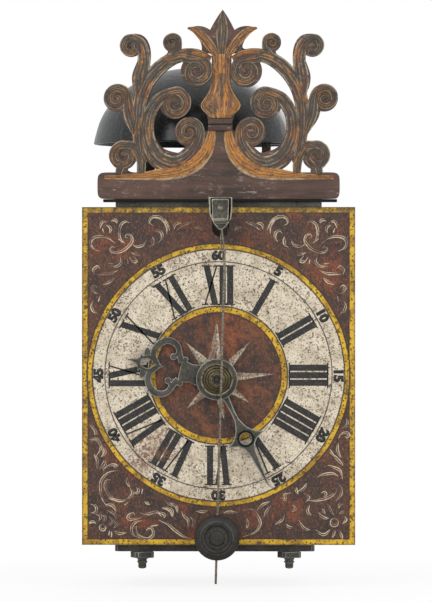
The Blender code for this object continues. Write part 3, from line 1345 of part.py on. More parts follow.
def build_crest():
    rail_base = TOP_FACE + SEAT_GAP
    front = CREST_BACK - CREST_THICK
    rail = block(
        CREST_RAIL_LEFT, CREST_RAIL_RIGHT, front - 1 * MM, CREST_BACK, rail_base, rail_base + CREST_RAIL_THICK
    )
    node("crest_rail", rail, DARK_IRON)
    base = rail_base + CREST_RAIL_THICK + SEAT_GAP
    half = CREST_HALF_WIDTH
    crest = node(
        "crest",
        block(-half, half, front, CREST_BACK, base, base + CREST_BASE_HEIGHT),
        CREST_PAINT,
    )
    middle = crest_piece(CREST_MIDDLE, 1, base) + crest_piece((CREST_TIP,), 1, base)
    middle += crest_piece(CREST_MIDDLE[::-1], -1, base)
    join(crest, prism([middle], front, CREST_BACK))
    for side in (-1, 1):
        for strip in CREST_RIBBONS:
            join(crest, prism([crest_piece(ribbon(strip, 2), side, base)], front, CREST_BACK))
        for x, z, radius in CREST_DISCS:
            disc = crest_piece(circle(radius, 14, (x, z)), side, base)
            join(crest, prism([disc], front, CREST_BACK))
    finished(crest, CREST_PAINT)
    for name, x in (("crest_bracket_left", -BRACKET_X), ("crest_bracket_right", BRACKET_X)):
        half = BRACKET_WIDTH / 2
        leaf = CREST_BACK + SEAT_GAP
        bracket = node(
            name,
            block(-half, half, leaf, leaf + BRACKET_THICK, rail_base, rail_base + BRACKET_HEIGHT),
            IRON,
            (x, 0, 0),
        )
        join(
            bracket,
            block(-half, half, leaf + 1 * MM, leaf + BRACKET_FOOT, rail_base, rail_base + BRACKET_THICK),
        )
        finished(bracket, IRON)


def build_dial():
    half = DIAL_WIDTH / 2
    top = below(DIAL_DROP)
    bottom = top - DIAL_HEIGHT
    notch = DIAL_NOTCH_WIDTH / 2
    notch_z = below(DIAL_NOTCH_DROP) + notch
    outline = [(-half, bottom), (half, bottom), (half, top), (PENDULUM_X + notch, top)]
    outline += arc((PENDULUM_X, notch_z), notch, 0, -math.pi, 8)
    outline += [(PENDULUM_X - notch, top), (-half, top)]
    hole = circle(HOUR_PIPE_RADIUS + 1 * MM, 16, CENTRE)
    front = DIAL_Y - DIAL_THICK
    dial = node("dial_plate", prism([outline, hole], front, DIAL_Y), DIAL_PAINT)
    for x in (POST_MIDDLE_X - POST_HALF_SPACING, POST_MIDDLE_X + POST_HALF_SPACING):
        for drop in DIAL_FOOT_DROPS:
            join(
                dial,
                rod(DIAL_FOOT_RADIUS, DIAL_Y - 0.5 * MM, DIAL_Y + DIAL_FOOT_LENGTH, "XZ", (x, below(drop))),
            )
    finished(dial, DIAL_PAINT)


build_frame()
build_bars()
build_going_train()
build_motion_work()
build_hands()
build_pendulum()
build_strike_train()
build_levers()
build_bell()
build_crest()
build_dial()
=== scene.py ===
import json
import math

import bpy
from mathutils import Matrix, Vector

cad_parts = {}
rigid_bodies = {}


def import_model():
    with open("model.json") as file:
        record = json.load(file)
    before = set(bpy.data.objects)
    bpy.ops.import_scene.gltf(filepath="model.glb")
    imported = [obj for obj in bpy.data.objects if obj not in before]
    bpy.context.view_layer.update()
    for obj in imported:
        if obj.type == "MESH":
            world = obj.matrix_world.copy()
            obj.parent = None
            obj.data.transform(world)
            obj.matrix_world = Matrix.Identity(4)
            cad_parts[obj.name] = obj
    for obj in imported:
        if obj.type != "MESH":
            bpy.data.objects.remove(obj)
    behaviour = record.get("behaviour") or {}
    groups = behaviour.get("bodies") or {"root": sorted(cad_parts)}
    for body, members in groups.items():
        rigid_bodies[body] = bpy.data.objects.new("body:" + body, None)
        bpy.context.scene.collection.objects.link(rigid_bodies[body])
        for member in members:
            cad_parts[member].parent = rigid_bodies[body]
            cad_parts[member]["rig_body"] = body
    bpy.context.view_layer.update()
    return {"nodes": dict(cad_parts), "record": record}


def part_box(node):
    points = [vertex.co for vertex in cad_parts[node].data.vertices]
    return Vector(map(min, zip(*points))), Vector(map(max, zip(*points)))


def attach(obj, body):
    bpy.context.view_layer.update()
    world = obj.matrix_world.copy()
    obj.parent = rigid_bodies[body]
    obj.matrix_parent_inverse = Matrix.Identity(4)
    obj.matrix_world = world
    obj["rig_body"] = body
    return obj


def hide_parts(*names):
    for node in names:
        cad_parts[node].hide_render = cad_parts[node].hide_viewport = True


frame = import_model()
nodes = frame["nodes"]
slotOf = {part["node"]: part["material_slot"] for part in frame["record"]["subparts"]}
mm = 0.001
tooling = {"sliver": 0.01, "bevel": 28, "turned": 32, "soft": 35, "carved": 50}  # mm, then angles in degrees
print("frame loaded:", len(nodes), "nodes")


# Working with Blender's tools

def clearSelection():
    leaveEdit()
    bpy.ops.object.select_all(action="DESELECT")


def activate(obj):
    clearSelection()
    obj.select_set(True)
    bpy.context.view_layer.objects.active = obj


def editAll(obj):
    activate(obj)
    bpy.ops.object.mode_set(mode="EDIT")
    bpy.ops.mesh.select_all(action="SELECT")


def leaveEdit():
    if bpy.context.mode != "OBJECT":
        bpy.ops.object.mode_set(mode="OBJECT")


def applyModifier(obj, kind, **settings):
    activate(obj)
    modifier = obj.modifiers.new(kind.lower(), kind)
    for key, value in settings.items():
        setattr(modifier, key, value)
    bpy.ops.object.modifier_apply(modifier=modifier.name)


def mergeSlivers(obj):  # a bevel can leave faces with no area
    editAll(obj)
    bpy.ops.mesh.remove_doubles(threshold=tooling["sliver"] * mm)
    bpy.ops.mesh.dissolve_degenerate(threshold=tooling["sliver"] * mm)
    bpy.ops.mesh.select_all(action="SELECT")
    bpy.ops.mesh.delete_loose(use_faces=True)
    leaveEdit()


def softEdges(obj, width, angle):  # mm and degrees, the bevel shows the second material
    limit = {"limit_method": "ANGLE", "angle_limit": math.radians(angle)}
    applyModifier(obj, "BEVEL", width=width * mm, segments=2, material=1, **limit)


def smoothed(obj, angle):
    activate(obj)
    bpy.ops.object.shade_smooth_by_angle(angle=math.radians(angle))


def dressed(obj, *materials):
    obj.data.materials.clear()
    for material in materials:
        obj.data.materials.append(material)


def ownCopy(obj):
    twin = obj.copy()
    twin.data = obj.data.copy()
    bpy.context.scene.collection.objects.link(twin)
    return twin


def thickened(obj, depth):  # closes a flat sheet along Y, mm
    editAll(obj)
    bpy.ops.mesh.extrude_region_move(TRANSFORM_OT_translate={"value": (0, depth * mm, 0)})
    bpy.ops.mesh.select_all(action="SELECT")
    bpy.ops.mesh.normals_make_consistent(inside=False)
    leaveEdit()


def joined(pieces):
    clearSelection()
    for piece in pieces:
        piece.select_set(True)
    bpy.context.view_layer.objects.active = pieces[0]
    bpy.ops.object.join()
    return pieces[0]


def placePiece(obj, name, body, slotName, material, *replaced):
    activate(obj)
    bpy.ops.object.transform_apply(location=True, rotation=True, scale=True)
    obj.name = name
    obj.data.name = name
    if material:
        dressed(obj, material)
    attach(obj, body)
    if replaced:
        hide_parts(*replaced)
    return obj


def smoothLine(points, samples):  # Catmull-Rom through points of any length
    line = []
    for i in range(len(points) - 1):
        around = [points[max(i - 1, 0)], points[i], points[i + 1], points[min(i + 2, len(points) - 1)]]
        for k in range(samples):
            t = k / samples
            line.append([
                0.5 * (2 * b + (c - a) * t + (2 * a - 5 * b + 4 * c - d) * t * t
                       + (3 * b - a - 3 * c + d) * t ** 3)
                for a, b, c, d in zip(*around)
            ])
    line.append(list(points[-1]))
    return line


def roundStrokes(name, lines, radius, resolution):  # each line holds x, y, z and weight, mm
    curve = bpy.data.curves.new(name, "CURVE")
    curve.dimensions = "3D"
    curve.bevel_depth = radius * mm
    curve.bevel_resolution = resolution
    curve.use_fill_caps = True
    for line in lines:
        spline = curve.splines.new("POLY")
        spline.points.add(len(line) - 1)
        for point, (x, y, z, weight) in zip(spline.points, line):
            point.co = (x * mm, y * mm, z * mm, 1)
            point.radius = weight
    obj = bpy.data.objects.new(name, curve)
    bpy.context.scene.collection.objects.link(obj)
    activate(obj)
    bpy.ops.object.convert(target="MESH")
    return bpy.context.object


def turnedPiece(profile, centre, along, steps, ring=False):  # lathe: circle, extrude, resize
    clearSelection()
    turn = (math.pi / 2, 0, 0) if along.y else (0, 0, 0)
    radius, height = profile[0]
    bpy.ops.mesh.primitive_circle_add(
        vertices=steps, radius=radius * mm, location=centre + along * height * mm, rotation=turn
    )
    obj = bpy.context.object
    bpy.ops.object.transform_apply(location=True, rotation=True, scale=True)
    editAll(obj)
    for (r0, t0), (r1, t1) in zip(profile, profile[1:]):
        bpy.ops.mesh.extrude_edges_move(TRANSFORM_OT_translate={"value": along * (t1 - t0) * mm})
        bpy.ops.transform.resize(value=(r1 / r0,) * 3, center_override=centre + along * t1 * mm)
    bpy.ops.mesh.select_all(action="DESELECT")
    bpy.ops.mesh.select_mode(type="EDGE")
    bpy.ops.mesh.select_non_manifold()
    if ring:
        bpy.ops.mesh.bridge_edge_loops()
    else:
        bpy.ops.mesh.fill_holes(sides=0)
    bpy.ops.mesh.select_all(action="SELECT")
    bpy.ops.mesh.normals_make_consistent(inside=False)
    smoothed(obj, tooling["turned"])
    return obj


# Shader maths

def linear(colour):
    return tuple(c / 255 / 12.92 if c <= 10 else ((c / 255 + 0.055) / 1.055) ** 2.4 for c in colour) + (1,)


class Sock:
    def __init__(self, paint, socket):
        self.paint = paint
        self.socket = socket

    def math(self, operation, *others):
        return self.paint.add("ShaderNodeMath", {"operation": operation}, dict(enumerate((self,) + others)))

    def __add__(self, other):
        return self.math("ADD", other)

    __radd__ = __add__

    def __mul__(self, other):
        return self.math("MULTIPLY", other)

    __rmul__ = __mul__

    def __sub__(self, other):
        return self.math("SUBTRACT", other)

    def __rsub__(self, other):
        return self.math("MULTIPLY_ADD", -1, other)

    def __pow__(self, other):
        return self.math("POWER", other)

    def size(self):
        return self.math("ABSOLUTE")

    def most(self, other):
        return self.math("MAXIMUM", other)

    def least(self, other):
        return self.math("MINIMUM", other)

    def rise(self, low, high):  # 0 below low, 1 above high
        return self.paint.add(
            "ShaderNodeMapRange", {"interpolation_type": "SMOOTHSTEP"}, {0: self, 1: low, 2: high, 3: 0, 4: 1}
        )

    def inside(self, low, high, soft):
        return self.rise(low - soft, low + soft) * (1 - self.rise(high - soft, high + soft))


class Nodes:
    def __init__(self, tree):
        self.tree = tree

    def add(self, kind, settings, values, output=0):
        node = self.tree.nodes.new(kind)
        for key, value in settings.items():
            setattr(node, key, value)
        for key, value in values.items():
            self.put(node.inputs[key], value)
        return Sock(self, node.outputs[output])

    def put(self, socket, value):
        if isinstance(value, Sock):
            self.tree.links.new(value.socket, socket)
        else:
            socket.default_value = value


class Paint(Nodes):
    def __init__(self, name):
        self.material = bpy.data.materials.new(name)
        self.material.use_nodes = True
        super().__init__(self.material.node_tree)
        self.shader = self.tree.nodes["Principled BSDF"]
        place = self.add("ShaderNodeTexCoord", {}, {}, "Object")
        self.mmPlace = self.add("ShaderNodeVectorMath", {"operation": "SCALE"}, {0: place, "Scale": 1 / mm})

    def axes(self):
        split = self.add("ShaderNodeSeparateXYZ", {}, {0: self.mmPlace})
        outputs = split.socket.node.outputs
        return [Sock(self, outputs[i]) for i in range(3)]

    def noise(self, scale, detail=4, rough=0.55, stretch=(1, 1, 1), warp=0.0, shift=(0, 0, 0)):
        place = {"Vector": self.mmPlace, "Location": shift, "Scale": stretch}
        spot = self.add("ShaderNodeMapping", {}, place)
        values = {"Vector": spot, "Scale": scale, "Detail": detail, "Roughness": rough, "Distortion": warp}
        return self.add("ShaderNodeTexNoise", {}, values)

    def cells(self, scale):
        return self.add("ShaderNodeTexVoronoi", {}, {"Vector": self.mmPlace, "Scale": scale})

    def mix(self, amount, first, second):
        first = linear(first) if isinstance(first, tuple) else first
        second = linear(second) if isinstance(second, tuple) else second
        return self.add("ShaderNodeMix", {"data_type": "RGBA"}, {0: amount, 6: first, 7: second}, 2)

    def layers(self, colour, *coats):  # each coat is a mask and its colour
        for amount, tint in coats:
            colour = self.mix(amount, colour, tint)
        return colour

    def finish(self, colour, rough, metal, height, depth, **constants):
        bump = self.add("ShaderNodeBump", {}, {"Height": height, "Strength": 1.0, "Distance": depth * mm})
        values = {"Base Color": colour, "Roughness": rough, "Metallic": metal, "Normal": bump, **constants}
        for name, value in values.items():
            self.put(self.shader.inputs[name], value)
        return self.material


# Finishes

def lighter(colour, amount):
    return tuple(c + (255 - c) * amount for c in colour)


def darker(colour, share):
    return tuple(c * share for c in colour)


def forgedIron(name, dark, light, rust, rough, grain):
    paint = Paint(name)
    broad = paint.noise(0.06, 5)
    fine = paint.noise(0.5, 6, 0.65)
    pits = paint.cells(0.9)
    colour = paint.layers(
        dark,
        ((broad * 0.5 + fine * 0.5).rise(0.36, 0.64), light),
        (paint.noise(0.11, 6, 0.7, shift=(31, 7, 3)).rise(0.54, 0.7) * 0.75, rust),
        ((1 - pits.rise(0.05, 0.3)) * 0.5, darker(dark, 0.5)),
    )
    height = broad * 1.4 + fine * 0.5 - (1 - pits.rise(0.0, 0.35)) * grain
    return paint.finish(colour, rough + fine * 0.25, 0.6, height, 0.22)


def turnedMetal(name, dark, light, centre, rough, metal, grooves, glint):  # rings round the Y axis
    paint = Paint(name)
    x, y, z = paint.axes()
    radius = ((x - centre[0]) ** 2 + (z - centre[1]) ** 2) ** 0.5
    values = {"W": radius, "Scale": 2.2, "Detail": 3}
    rings = paint.add("ShaderNodeTexNoise", {"noise_dimensions": "1D"}, values)
    fine = paint.noise(0.4, 5)
    colour = paint.layers(
        dark,
        ((rings * 0.6 + fine * 0.4).rise(0.35, 0.65), light),
        (paint.noise(0.09, 5, 0.6).rise(0.52, 0.72) * 0.6, darker(dark, 0.6)),
    )
    # At each groove radius the colour gets a painted shade line in the groove and, just outside it, a painted
    # highlight ring (shine, made lighter by glint).
    for groove in grooves:
        shine = (1 - (radius - groove - 0.95).size().rise(0.2, 0.6)) * fine.rise(0.34, 0.52)
        colour = paint.layers(
            colour,
            ((1 - (radius - groove).size().rise(0.15, 0.55)) * 0.6, darker(dark, 0.5)),
            (shine * 0.6, lighter(light, glint)),
        )
    return paint.finish(colour, rough + fine * 0.2, metal, rings * 0.8 + fine * 0.4, 0.12)


def drawnSteel(name, dark, light):
    paint = Paint(name)
    rust = (70, 56, 45)
    streak = paint.noise(0.6, 4, 0.6, stretch=(1, 0.06, 1))
    spots = paint.noise(0.16, 6, 0.7)
    colour = paint.layers(dark, (streak.rise(0.35, 0.65), light), (spots.rise(0.54, 0.68) * 0.6, rust))
    return paint.finish(colour, 0.34 + spots * 0.3, 0.75, streak * 0.4 + spots, 0.1)


def bellFinish(name, dark, light, fleck):
    paint = Paint(name)
    cloud = paint.noise(0.025, 6, 0.6)
    streak = paint.noise(0.25, 5, 0.6, stretch=(1, 1, 0.12))
    speck = paint.noise(0.7, 3)
    dents = paint.noise(0.16, 2)  # hammer marks
    colour = paint.layers(
        dark, ((cloud * 0.6 + streak * 0.4).rise(0.35, 0.65), light), (speck.rise(0.57, 0.65) * 0.6, fleck)
    )
    height = dents * 1.5 + streak * 0.4 + speck * 0.3
    return paint.finish(colour, 0.24 + cloud * 0.2, 0.0, height, 0.2, IOR=1.4)


dialLook = {  # mm
    "chapterCentre": (-0.1, -133.2),
    "half": (102.5, 126.75),
    "middle": -133.75,
    "border": 4.2,
    "ringOuter": (94.6, 98.7),
    "ringInner": (47.0, 51.8),
    "minuteLine": 85.2,
    "lineWidths": (0.55, 0.5, 0.42, 0.45, 0.55),
    "front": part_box("dial_plate")[0].y / mm,
    "worn": ((-48, -187, 9, 31), (-58, -197, 4, 14), (-41.5, -192.7, 2.5, 9)),  # cream twice, then numerals
    "ground": {
        "brown": (60, 46, 41), "red": (92, 59, 43), "dark": (42, 35, 33), "orange": (152, 75, 38),
        "brush": (44, 34, 31), "mottle": (34, 28, 27), "fleck": (130, 96, 72), "foot": (42, 32, 28),
        "grit": (36, 28, 26), "scratch": (160, 98, 62), "discGlow": (168, 96, 46), "discDark": (38, 29, 27),
    },
    "cream": {
        "pale": (226, 213, 190), "dull": (202, 187, 162), "speck": (64, 54, 47), "stain": (142, 126, 106),
        "cluster": (88, 74, 62), "blotch": (128, 110, 92), "flaked": (120, 78, 62),
    },
    "yellow": {
        "bright": (216, 172, 36), "deep": (166, 124, 28), "chip": (44, 34, 20), "worn": (58, 46, 26),
        "dirt": (74, 62, 46),
    },
    "ink": (40, 34, 28),
    "wornInk": (122, 84, 68),
    "bare": ((48, 42, 37), (82, 70, 58)),  # sheet iron behind the paint
}


def wornPatch(paint, patch):  # flaked paint round one spot
    spotX, spotZ, near, far = patch
    x, y, z = paint.axes()
    away = ((x - spotX) ** 2 + ((z - spotZ) * 1.3) ** 2) ** 0.5
    return (1 - away.rise(near, far)) * paint.noise(0.34, 6, 0.75).rise(0.47, 0.53)


def dialPaintFinish(name, look):
    paint = Paint(name)
    x, y, z = paint.axes()
    wobble = paint.noise(0.05, 3) - 0.5
    centreX, centreZ = look["chapterCentre"]
    radius = ((x - centreX) ** 2 + (z - centreZ) ** 2) ** 0.5 + wobble * 0.9
    broad = paint.noise(0.035, 5, 0.6)
    patch = paint.noise(0.06, 5, 0.65, shift=(11, 0, 5))
    fine = paint.noise(0.7, 6, 0.7)
    brush = paint.noise(0.3, 6, 0.7, stretch=(1, 1, 0.3))
    grit = paint.noise(0.8, 4, 0.7, stretch=(1, 1, 0.55), shift=(5, 0, 8))
    red, cream, gold = look["ground"], look["cream"], look["yellow"]
    ground = paint.layers(
        red["brown"],
        (broad.rise(0.38, 0.6), red["red"]),
        (paint.noise(0.04, 5, 0.7, shift=(3, 0, 41)).rise(0.5, 0.66) * brush.rise(0.3, 0.6), red["orange"]),
        (patch.rise(0.5, 0.66) * 0.8, red["dark"]),
        (brush.rise(0.48, 0.62) * 0.75, red["brush"]),
        (paint.noise(0.45, 5, 0.75, shift=(6, 2, 13)).rise(0.54, 0.64) * 0.6, red["mottle"]),
        (fine.rise(0.56, 0.66) * 0.5, red["fleck"]),
        ((1 - z.rise(-262, -236)) * 0.45, red["foot"]),
        (grit.rise(0.5, 0.6) * 0.6, red["grit"]),
        ((1 - grit.rise(0.36, 0.46)) * 0.5, red["scratch"]),
    )
    disc = paint.layers(
        ground,
        (paint.noise(0.09, 5, 0.7, shift=(2, 8, 3)).rise(0.46, 0.62) * 0.3, red["discGlow"]),
        (paint.noise(0.28, 6, 0.75, shift=(7, 3, 1)).rise(0.47, 0.58) * 0.55, red["discDark"]),
    )
    cluster = paint.noise(0.045, 4, 0.6, shift=(21, 6, 14)).rise(0.36, 0.54)
    flaked = wornPatch(paint, look["worn"][0]).most(wornPatch(paint, look["worn"][1]))
    flaked = flaked.most(paint.noise(0.05, 6, 0.75, shift=(0, 0, 77)).rise(0.66, 0.72) * fine.rise(0.4, 0.6))
    chapter = paint.layers(
        cream["pale"],
        (paint.noise(0.09, 5).rise(0.4, 0.65), cream["dull"]),
        (fine.rise(0.55, 0.61) * 0.85, cream["speck"]),
        ((1 - paint.cells(0.33).rise(0.12, 0.22)) * patch.rise(0.3, 0.5), cream["speck"]),
        (paint.noise(0.38, 5, 0.75, shift=(1, 5, 2)).rise(0.61, 0.66) * 0.8, cream["speck"]),
        (paint.noise(0.22, 4, shift=(9, 4, 8)).rise(0.6, 0.72) * 0.6, cream["stain"]),
        (paint.noise(0.55, 4, 0.7, shift=(4, 1, 9)).rise(0.55, 0.61) * cluster, cream["cluster"]),
        (paint.noise(0.17, 6, 0.75, shift=(13, 2, 6)).rise(0.56, 0.64) * cluster * 0.7, cream["blotch"]),
        (flaked * 0.85, cream["flaked"]),
    )
    # The yellow turns darker in noisy patches along the top of the dial.
    dirt = z.rise(-12.5, -11) * paint.noise(0.2, 5, 0.7, shift=(5, 5, 5)).rise(0.38, 0.58)
    yellow = paint.layers(
        gold["bright"],
        (paint.noise(0.12, 5).rise(0.4, 0.62), gold["deep"]),
        ((1 - paint.cells(0.42).rise(0.2, 0.34)) * 0.9, gold["chip"]),
        (paint.noise(0.3, 6, 0.75, shift=(2, 1, 19)).rise(0.53, 0.6) * 0.85, gold["worn"]),
        (dirt * 0.7, gold["dirt"]),
    )

    def within(distance, limit):
        return 1 - distance.rise(limit - 0.2, limit + 0.2)

    edgeX = look["half"][0] - x.size()
    edgeZ = look["half"][1] - (z - look["middle"]).size()
    edge = edgeX.least(edgeZ) + wobble * 0.8
    border, outer, inner = look["border"], look["ringOuter"], look["ringInner"]
    line = edge.inside(border - 0.1, border + 0.5, 0.2).most((1 - edge.rise(0.2, 1.4)) * 0.7)
    for ring, width in zip((*outer, look["minuteLine"], *inner), look["lineWidths"]):
        line = line.most(radius.inside(ring - width, ring + width, 0.15))
    bare = paint.mix((broad * 0.5 + fine * 0.5).rise(0.38, 0.62), *look["bare"])
    colour = paint.layers(
        ground,
        (within(edge, border), yellow),
        (within(radius, outer[1]), yellow),
        (within(radius, outer[0]), chapter),
        (within(radius, inner[1]), yellow),
        (within(radius, inner[0]), disc),
        (line * (0.65 + fine * 0.5), look["ink"]),
        (y.rise(look["front"] + 0.15, look["front"] + 0.35), bare),
    )
    height = brush * 0.5 + fine * 0.35 + broad - flaked * 0.5
    return paint.finish(colour, 0.5 + fine * 0.25, 0.0, height, 0.12)


def oilPaint(name, colours, worn, amount, whole=0.54, patch=None):  # thin strokes of paint over the ground
    paint = Paint(name)
    fine = paint.noise(0.6, 5, 0.7)
    broad = paint.noise(0.12, 4)
    colour = paint.layers(
        colours[0], (broad.rise(0.4, 0.65), colours[1]), (fine.rise(whole, whole + 0.1) * amount, worn)
    )
    if patch:
        colour = paint.mix(wornPatch(paint, patch) * 0.8, colour, dialLook["wornInk"])
    return paint.finish(colour, 0.5 + fine * 0.25, 0.0, fine + broad, 0.05)


def crestGround(name, dark, light):
    paint = Paint(name)
    grain = paint.noise(0.16, 6, 0.65, stretch=(0.12, 1, 1), warp=0.4)
    broad = paint.noise(0.04, 5)
    fine = paint.noise(0.6, 5, 0.7)
    scratch = paint.noise(0.5, 5, 0.8, stretch=(0.3, 1, 1), shift=(8, 2, 5)).rise(0.56, 0.64)
    colour = paint.layers(
        dark,
        ((grain * 0.5 + broad * 0.2 + fine * 0.3).rise(0.38, 0.62), light),
        (fine.rise(0.54, 0.66) * 0.6, darker(dark, 0.6)),
        (paint.noise(0.09, 5, shift=(4, 4, 4)).rise(0.6, 0.74) * 0.5, lighter(light, 0.25)),
        (scratch * broad.rise(0.4, 0.6) * 0.7, lighter(light, 0.45)),
    )
    return paint.finish(colour, 0.55 + fine * 0.2, 0.0, grain + fine * 0.5, 0.25)


crestGrooves = (-0.52, -0.04, 0.44)  # across the band, from edge to edge -1 to 1
bandColours = {
    "rust": (98, 66, 54), "ochreDark": (112, 64, 30), "ochre": (206, 136, 58), "ochreLight": (226, 184, 118),
    "glint": (196, 166, 124), "groove": (38, 30, 27), "rim": (204, 184, 152), "crack": (40, 32, 28),
    "smoke": (58, 50, 44), "speck": (46, 38, 33), "flake": (186, 154, 110),
}


def crestBand(name, ochre, core):  # brush strokes along the carved band, from its own map
    paint = Paint(name)
    spot = paint.add("ShaderNodeUVMap", {"uv_map": "UVMap"}, {})
    across = paint.add("ShaderNodeSeparateXYZ", {}, {0: spot}, 1) * 2 - 1
    side = across + (paint.noise(0.12, 3) - 0.5) * 0.3

    def strokes(along, over, detail):
        stretched = paint.add("ShaderNodeMapping", {}, {"Vector": spot, "Scale": (along, over, 1)})
        values = {"Vector": stretched, "Scale": 1.0, "Detail": detail, "Roughness": 0.65}
        return paint.add("ShaderNodeTexNoise", {}, values)

    broad = strokes(7, 4, 4)
    thin = strokes(16, 22, 4)
    speck = paint.noise(0.5, 5, 0.7)
    warm = strokes(5, 3, 3).rise(0.7 - ochre * 0.45, 0.84 - ochre * 0.45)
    tint = paint.layers(
        bandColours["ochreDark"],
        (thin.rise(0.36, 0.56), bandColours["ochre"]),
        (strokes(12, 15, 4).rise(0.56, 0.64) * 0.8, bandColours["ochreLight"]),
    )
    # groove darkens the paint in each carved groove: partly the band's own dark lines, partly painted shade.
    # glint is a painted highlight along the ridge just beside each groove.
    groove = 0.0
    glint = 0.0
    for place in crestGrooves:
        groove = (1 - (side - place).size().rise(0.03, 0.14)).most(groove)
        glint = (1 - (side - place - 0.15).size().rise(0.02, 0.09)).most(glint)
    rim = across.size().inside(0.8, 0.95, 0.06) * strokes(9, 3, 3).rise(0.4, 0.52)
    colour = paint.layers(
        core,
        (broad.rise(0.36, 0.62), lighter(core, 0.16)),
        (paint.noise(0.04, 4, shift=(8, 2, 6)).rise(0.48, 0.62) * 0.6, bandColours["rust"]),
        (warm * (thin.rise(0.3, 0.52) * 0.7 + ochre * 0.3), tint),
        (glint * broad.rise(0.46, 0.6) * thin.rise(0.35, 0.55) * 0.5, bandColours["glint"]),
        (groove * broad.rise(0.36, 0.58) * (0.75 - ochre * 0.4), bandColours["groove"]),
        (rim * 0.85, bandColours["rim"]),
        ((1 - thin.rise(0.3, 0.42)) * (1.1 - ochre * 0.6), bandColours["crack"]),
        (paint.noise(0.13, 5, 0.75, shift=(3, 9, 1)).rise(0.5, 0.64) * 0.6, bandColours["smoke"]),
        (speck.rise(0.55, 0.66) * 0.65, bandColours["speck"]),
        (paint.noise(0.75, 4, 0.7, shift=(7, 3, 5)).rise(0.6, 0.68) * 0.6, bandColours["flake"]),
    )
    return paint.finish(colour, 0.5 + speck * 0.25, 0.0, thin + speck * 0.5 - groove, 0.35)


irons = {  # dark, light, rust, roughness, pits
    "frame_iron": ((46, 44, 40), (84, 81, 73), (76, 58, 44), 0.5, 0.25),
    "dark_iron": ((38, 36, 33), (72, 69, 62), (58, 46, 38), 0.5, 0.25),
    "wheel_iron": ((60, 54, 47), (104, 96, 84), (84, 62, 44), 0.42, 0.1),
    "hand_iron": ((52, 50, 45), (92, 89, 80), (66, 55, 45), 0.42, 0.15),
}
finishes = {
    "steel": drawnSteel("wornSteel", (88, 80, 70), (146, 136, 121)),
    "brass": turnedMetal(
        "dullBrass", (60, 54, 40), (112, 102, 76), (-1.1, -136.3), 0.34, 0.85, (3.2, 10.5), 0.6
    ),
    "bob_iron": turnedMetal(
        "turnedBobIron", (40, 39, 36), (66, 64, 60), (-1.0, -254.3), 0.4, 0.6, (5.6, 9.0, 11.3), 0.12
    ),
    "bell_metal": bellFinish("satinBellMetal", (20, 22, 23), (50, 53, 53), (88, 92, 90)),
    "dial_paint": dialPaintFinish("wornDialPaint", dialLook),
    "crest_paint": crestGround("crestGroundPaint", (54, 42, 36), (100, 73, 61)),
}
# Edge finishes go on every bevel and are lighter than the faces: partly worn, rubbed edges and partly a
# painted highlight.
edges = {
    "steel": drawnSteel("wornSteelEdge", (110, 103, 92), (164, 155, 141)),
    "crest_paint": crestGround("crestEdgePaint", (96, 76, 62), (160, 134, 106)),
}
for slotName, (dark, light, rust, rough, grain) in irons.items():
    finishes[slotName] = forgedIron(slotName + "Forged", dark, light, rust, rough, grain)
    shine = 0.48 if slotName == "hand_iron" else 0.34
    dark, light = lighter(dark, shine - 0.14), lighter(light, shine)
    edges[slotName] = forgedIron(slotName + "Edge", dark, light, rust, rough - 0.12, grain)
railIron = forgedIron("railIron", (13, 12, 11), (28, 27, 25), (36, 31, 27), 0.65, 0.2)
cockIron = forgedIron("cockIron", (48, 46, 41), (100, 97, 87), (64, 56, 46), 0.4, 0.25)
# cockEdge is the bright bevel of the pendulum cock's panels: worn bright iron with a painted highlight.
cockEdge = forgedIron("cockEdge", (122, 118, 105), (192, 186, 168), (90, 80, 66), 0.3, 0.1)
strapIron = forgedIron("strapIron", (62, 59, 54), (112, 108, 98), (84, 66, 52), 0.5, 0.25)
crestStroke = crestBand("crestBandPaint", 0.42, (72, 65, 56))
crestStem = crestBand("crestStemPaint", 0.65, (98, 70, 52))
crestStrand = crestBand("crestStrandPaint", 0.9, (150, 98, 52))
creamStroke = oilPaint("creamStrokePaint", ((198, 176, 144), (152, 126, 102)), (104, 76, 62), 0.8)
scrollPaint = oilPaint("scrollPaint", ((212, 194, 164), (126, 106, 90)), (88, 64, 54), 0.85)
numeralPaint = oilPaint(
    "numeralPaint", ((22, 22, 24), (38, 37, 36)), (140, 126, 106), 0.35, patch=dialLook["worn"][2]
)
starLight = oilPaint("starLightPaint", ((200, 188, 164), (170, 153, 128)), (88, 68, 56), 0.9, 0.48)
starDark = oilPaint("starDarkPaint", ((168, 150, 126), (136, 114, 93)), (82, 58, 48), 0.9, 0.47)
print("finishes made:", len(bpy.data.materials))


# CAD pieces kept in shape, with their edges softened

edgeWidths = {"frame_iron": 0.45, "dark_iron": 0.35, "wheel_iron": 0.2, "hand_iron": 0.5, "steel": 0.2}
ownFinish = {  # faces and edges
    "crest_rail": (railIron, railIron),
    "top_plate": (strapIron, edges["frame_iron"]),
    "pendulum_cock": (cockIron, cockEdge),
    "centre_arbor": (finishes["hand_iron"], railIron),
}
madeByHand = {"bell", "pendulum_bob", "hand_cap", "crest", "dial_plate"}
raisedFaces = {  # inset and height, mm
    "hour_hand": (0.45, 0.3), "minute_hand": (0.45, 0.3), "pendulum_cock": (0.8, 0.4),
}
raisedDepth = 4  # mm, faces this near the front are raised
railSeam = 0.28  # mm, closes the seams above and below the rail


def plainCopy(name):
    slotName = slotOf[name]
    obj = ownCopy(nodes[name])
    obj.parent = None
    for key in list(obj.keys()):
        del obj[key]
    dressed(obj, *ownFinish.get(name, (finishes[slotName], edges[slotName])))
    activate(obj)
    bpy.ops.mesh.customdata_custom_splitnormals_clear()
    editAll(obj)
    bpy.ops.mesh.remove_doubles(threshold=tooling["sliver"] * mm)
    leaveEdit()
    return obj


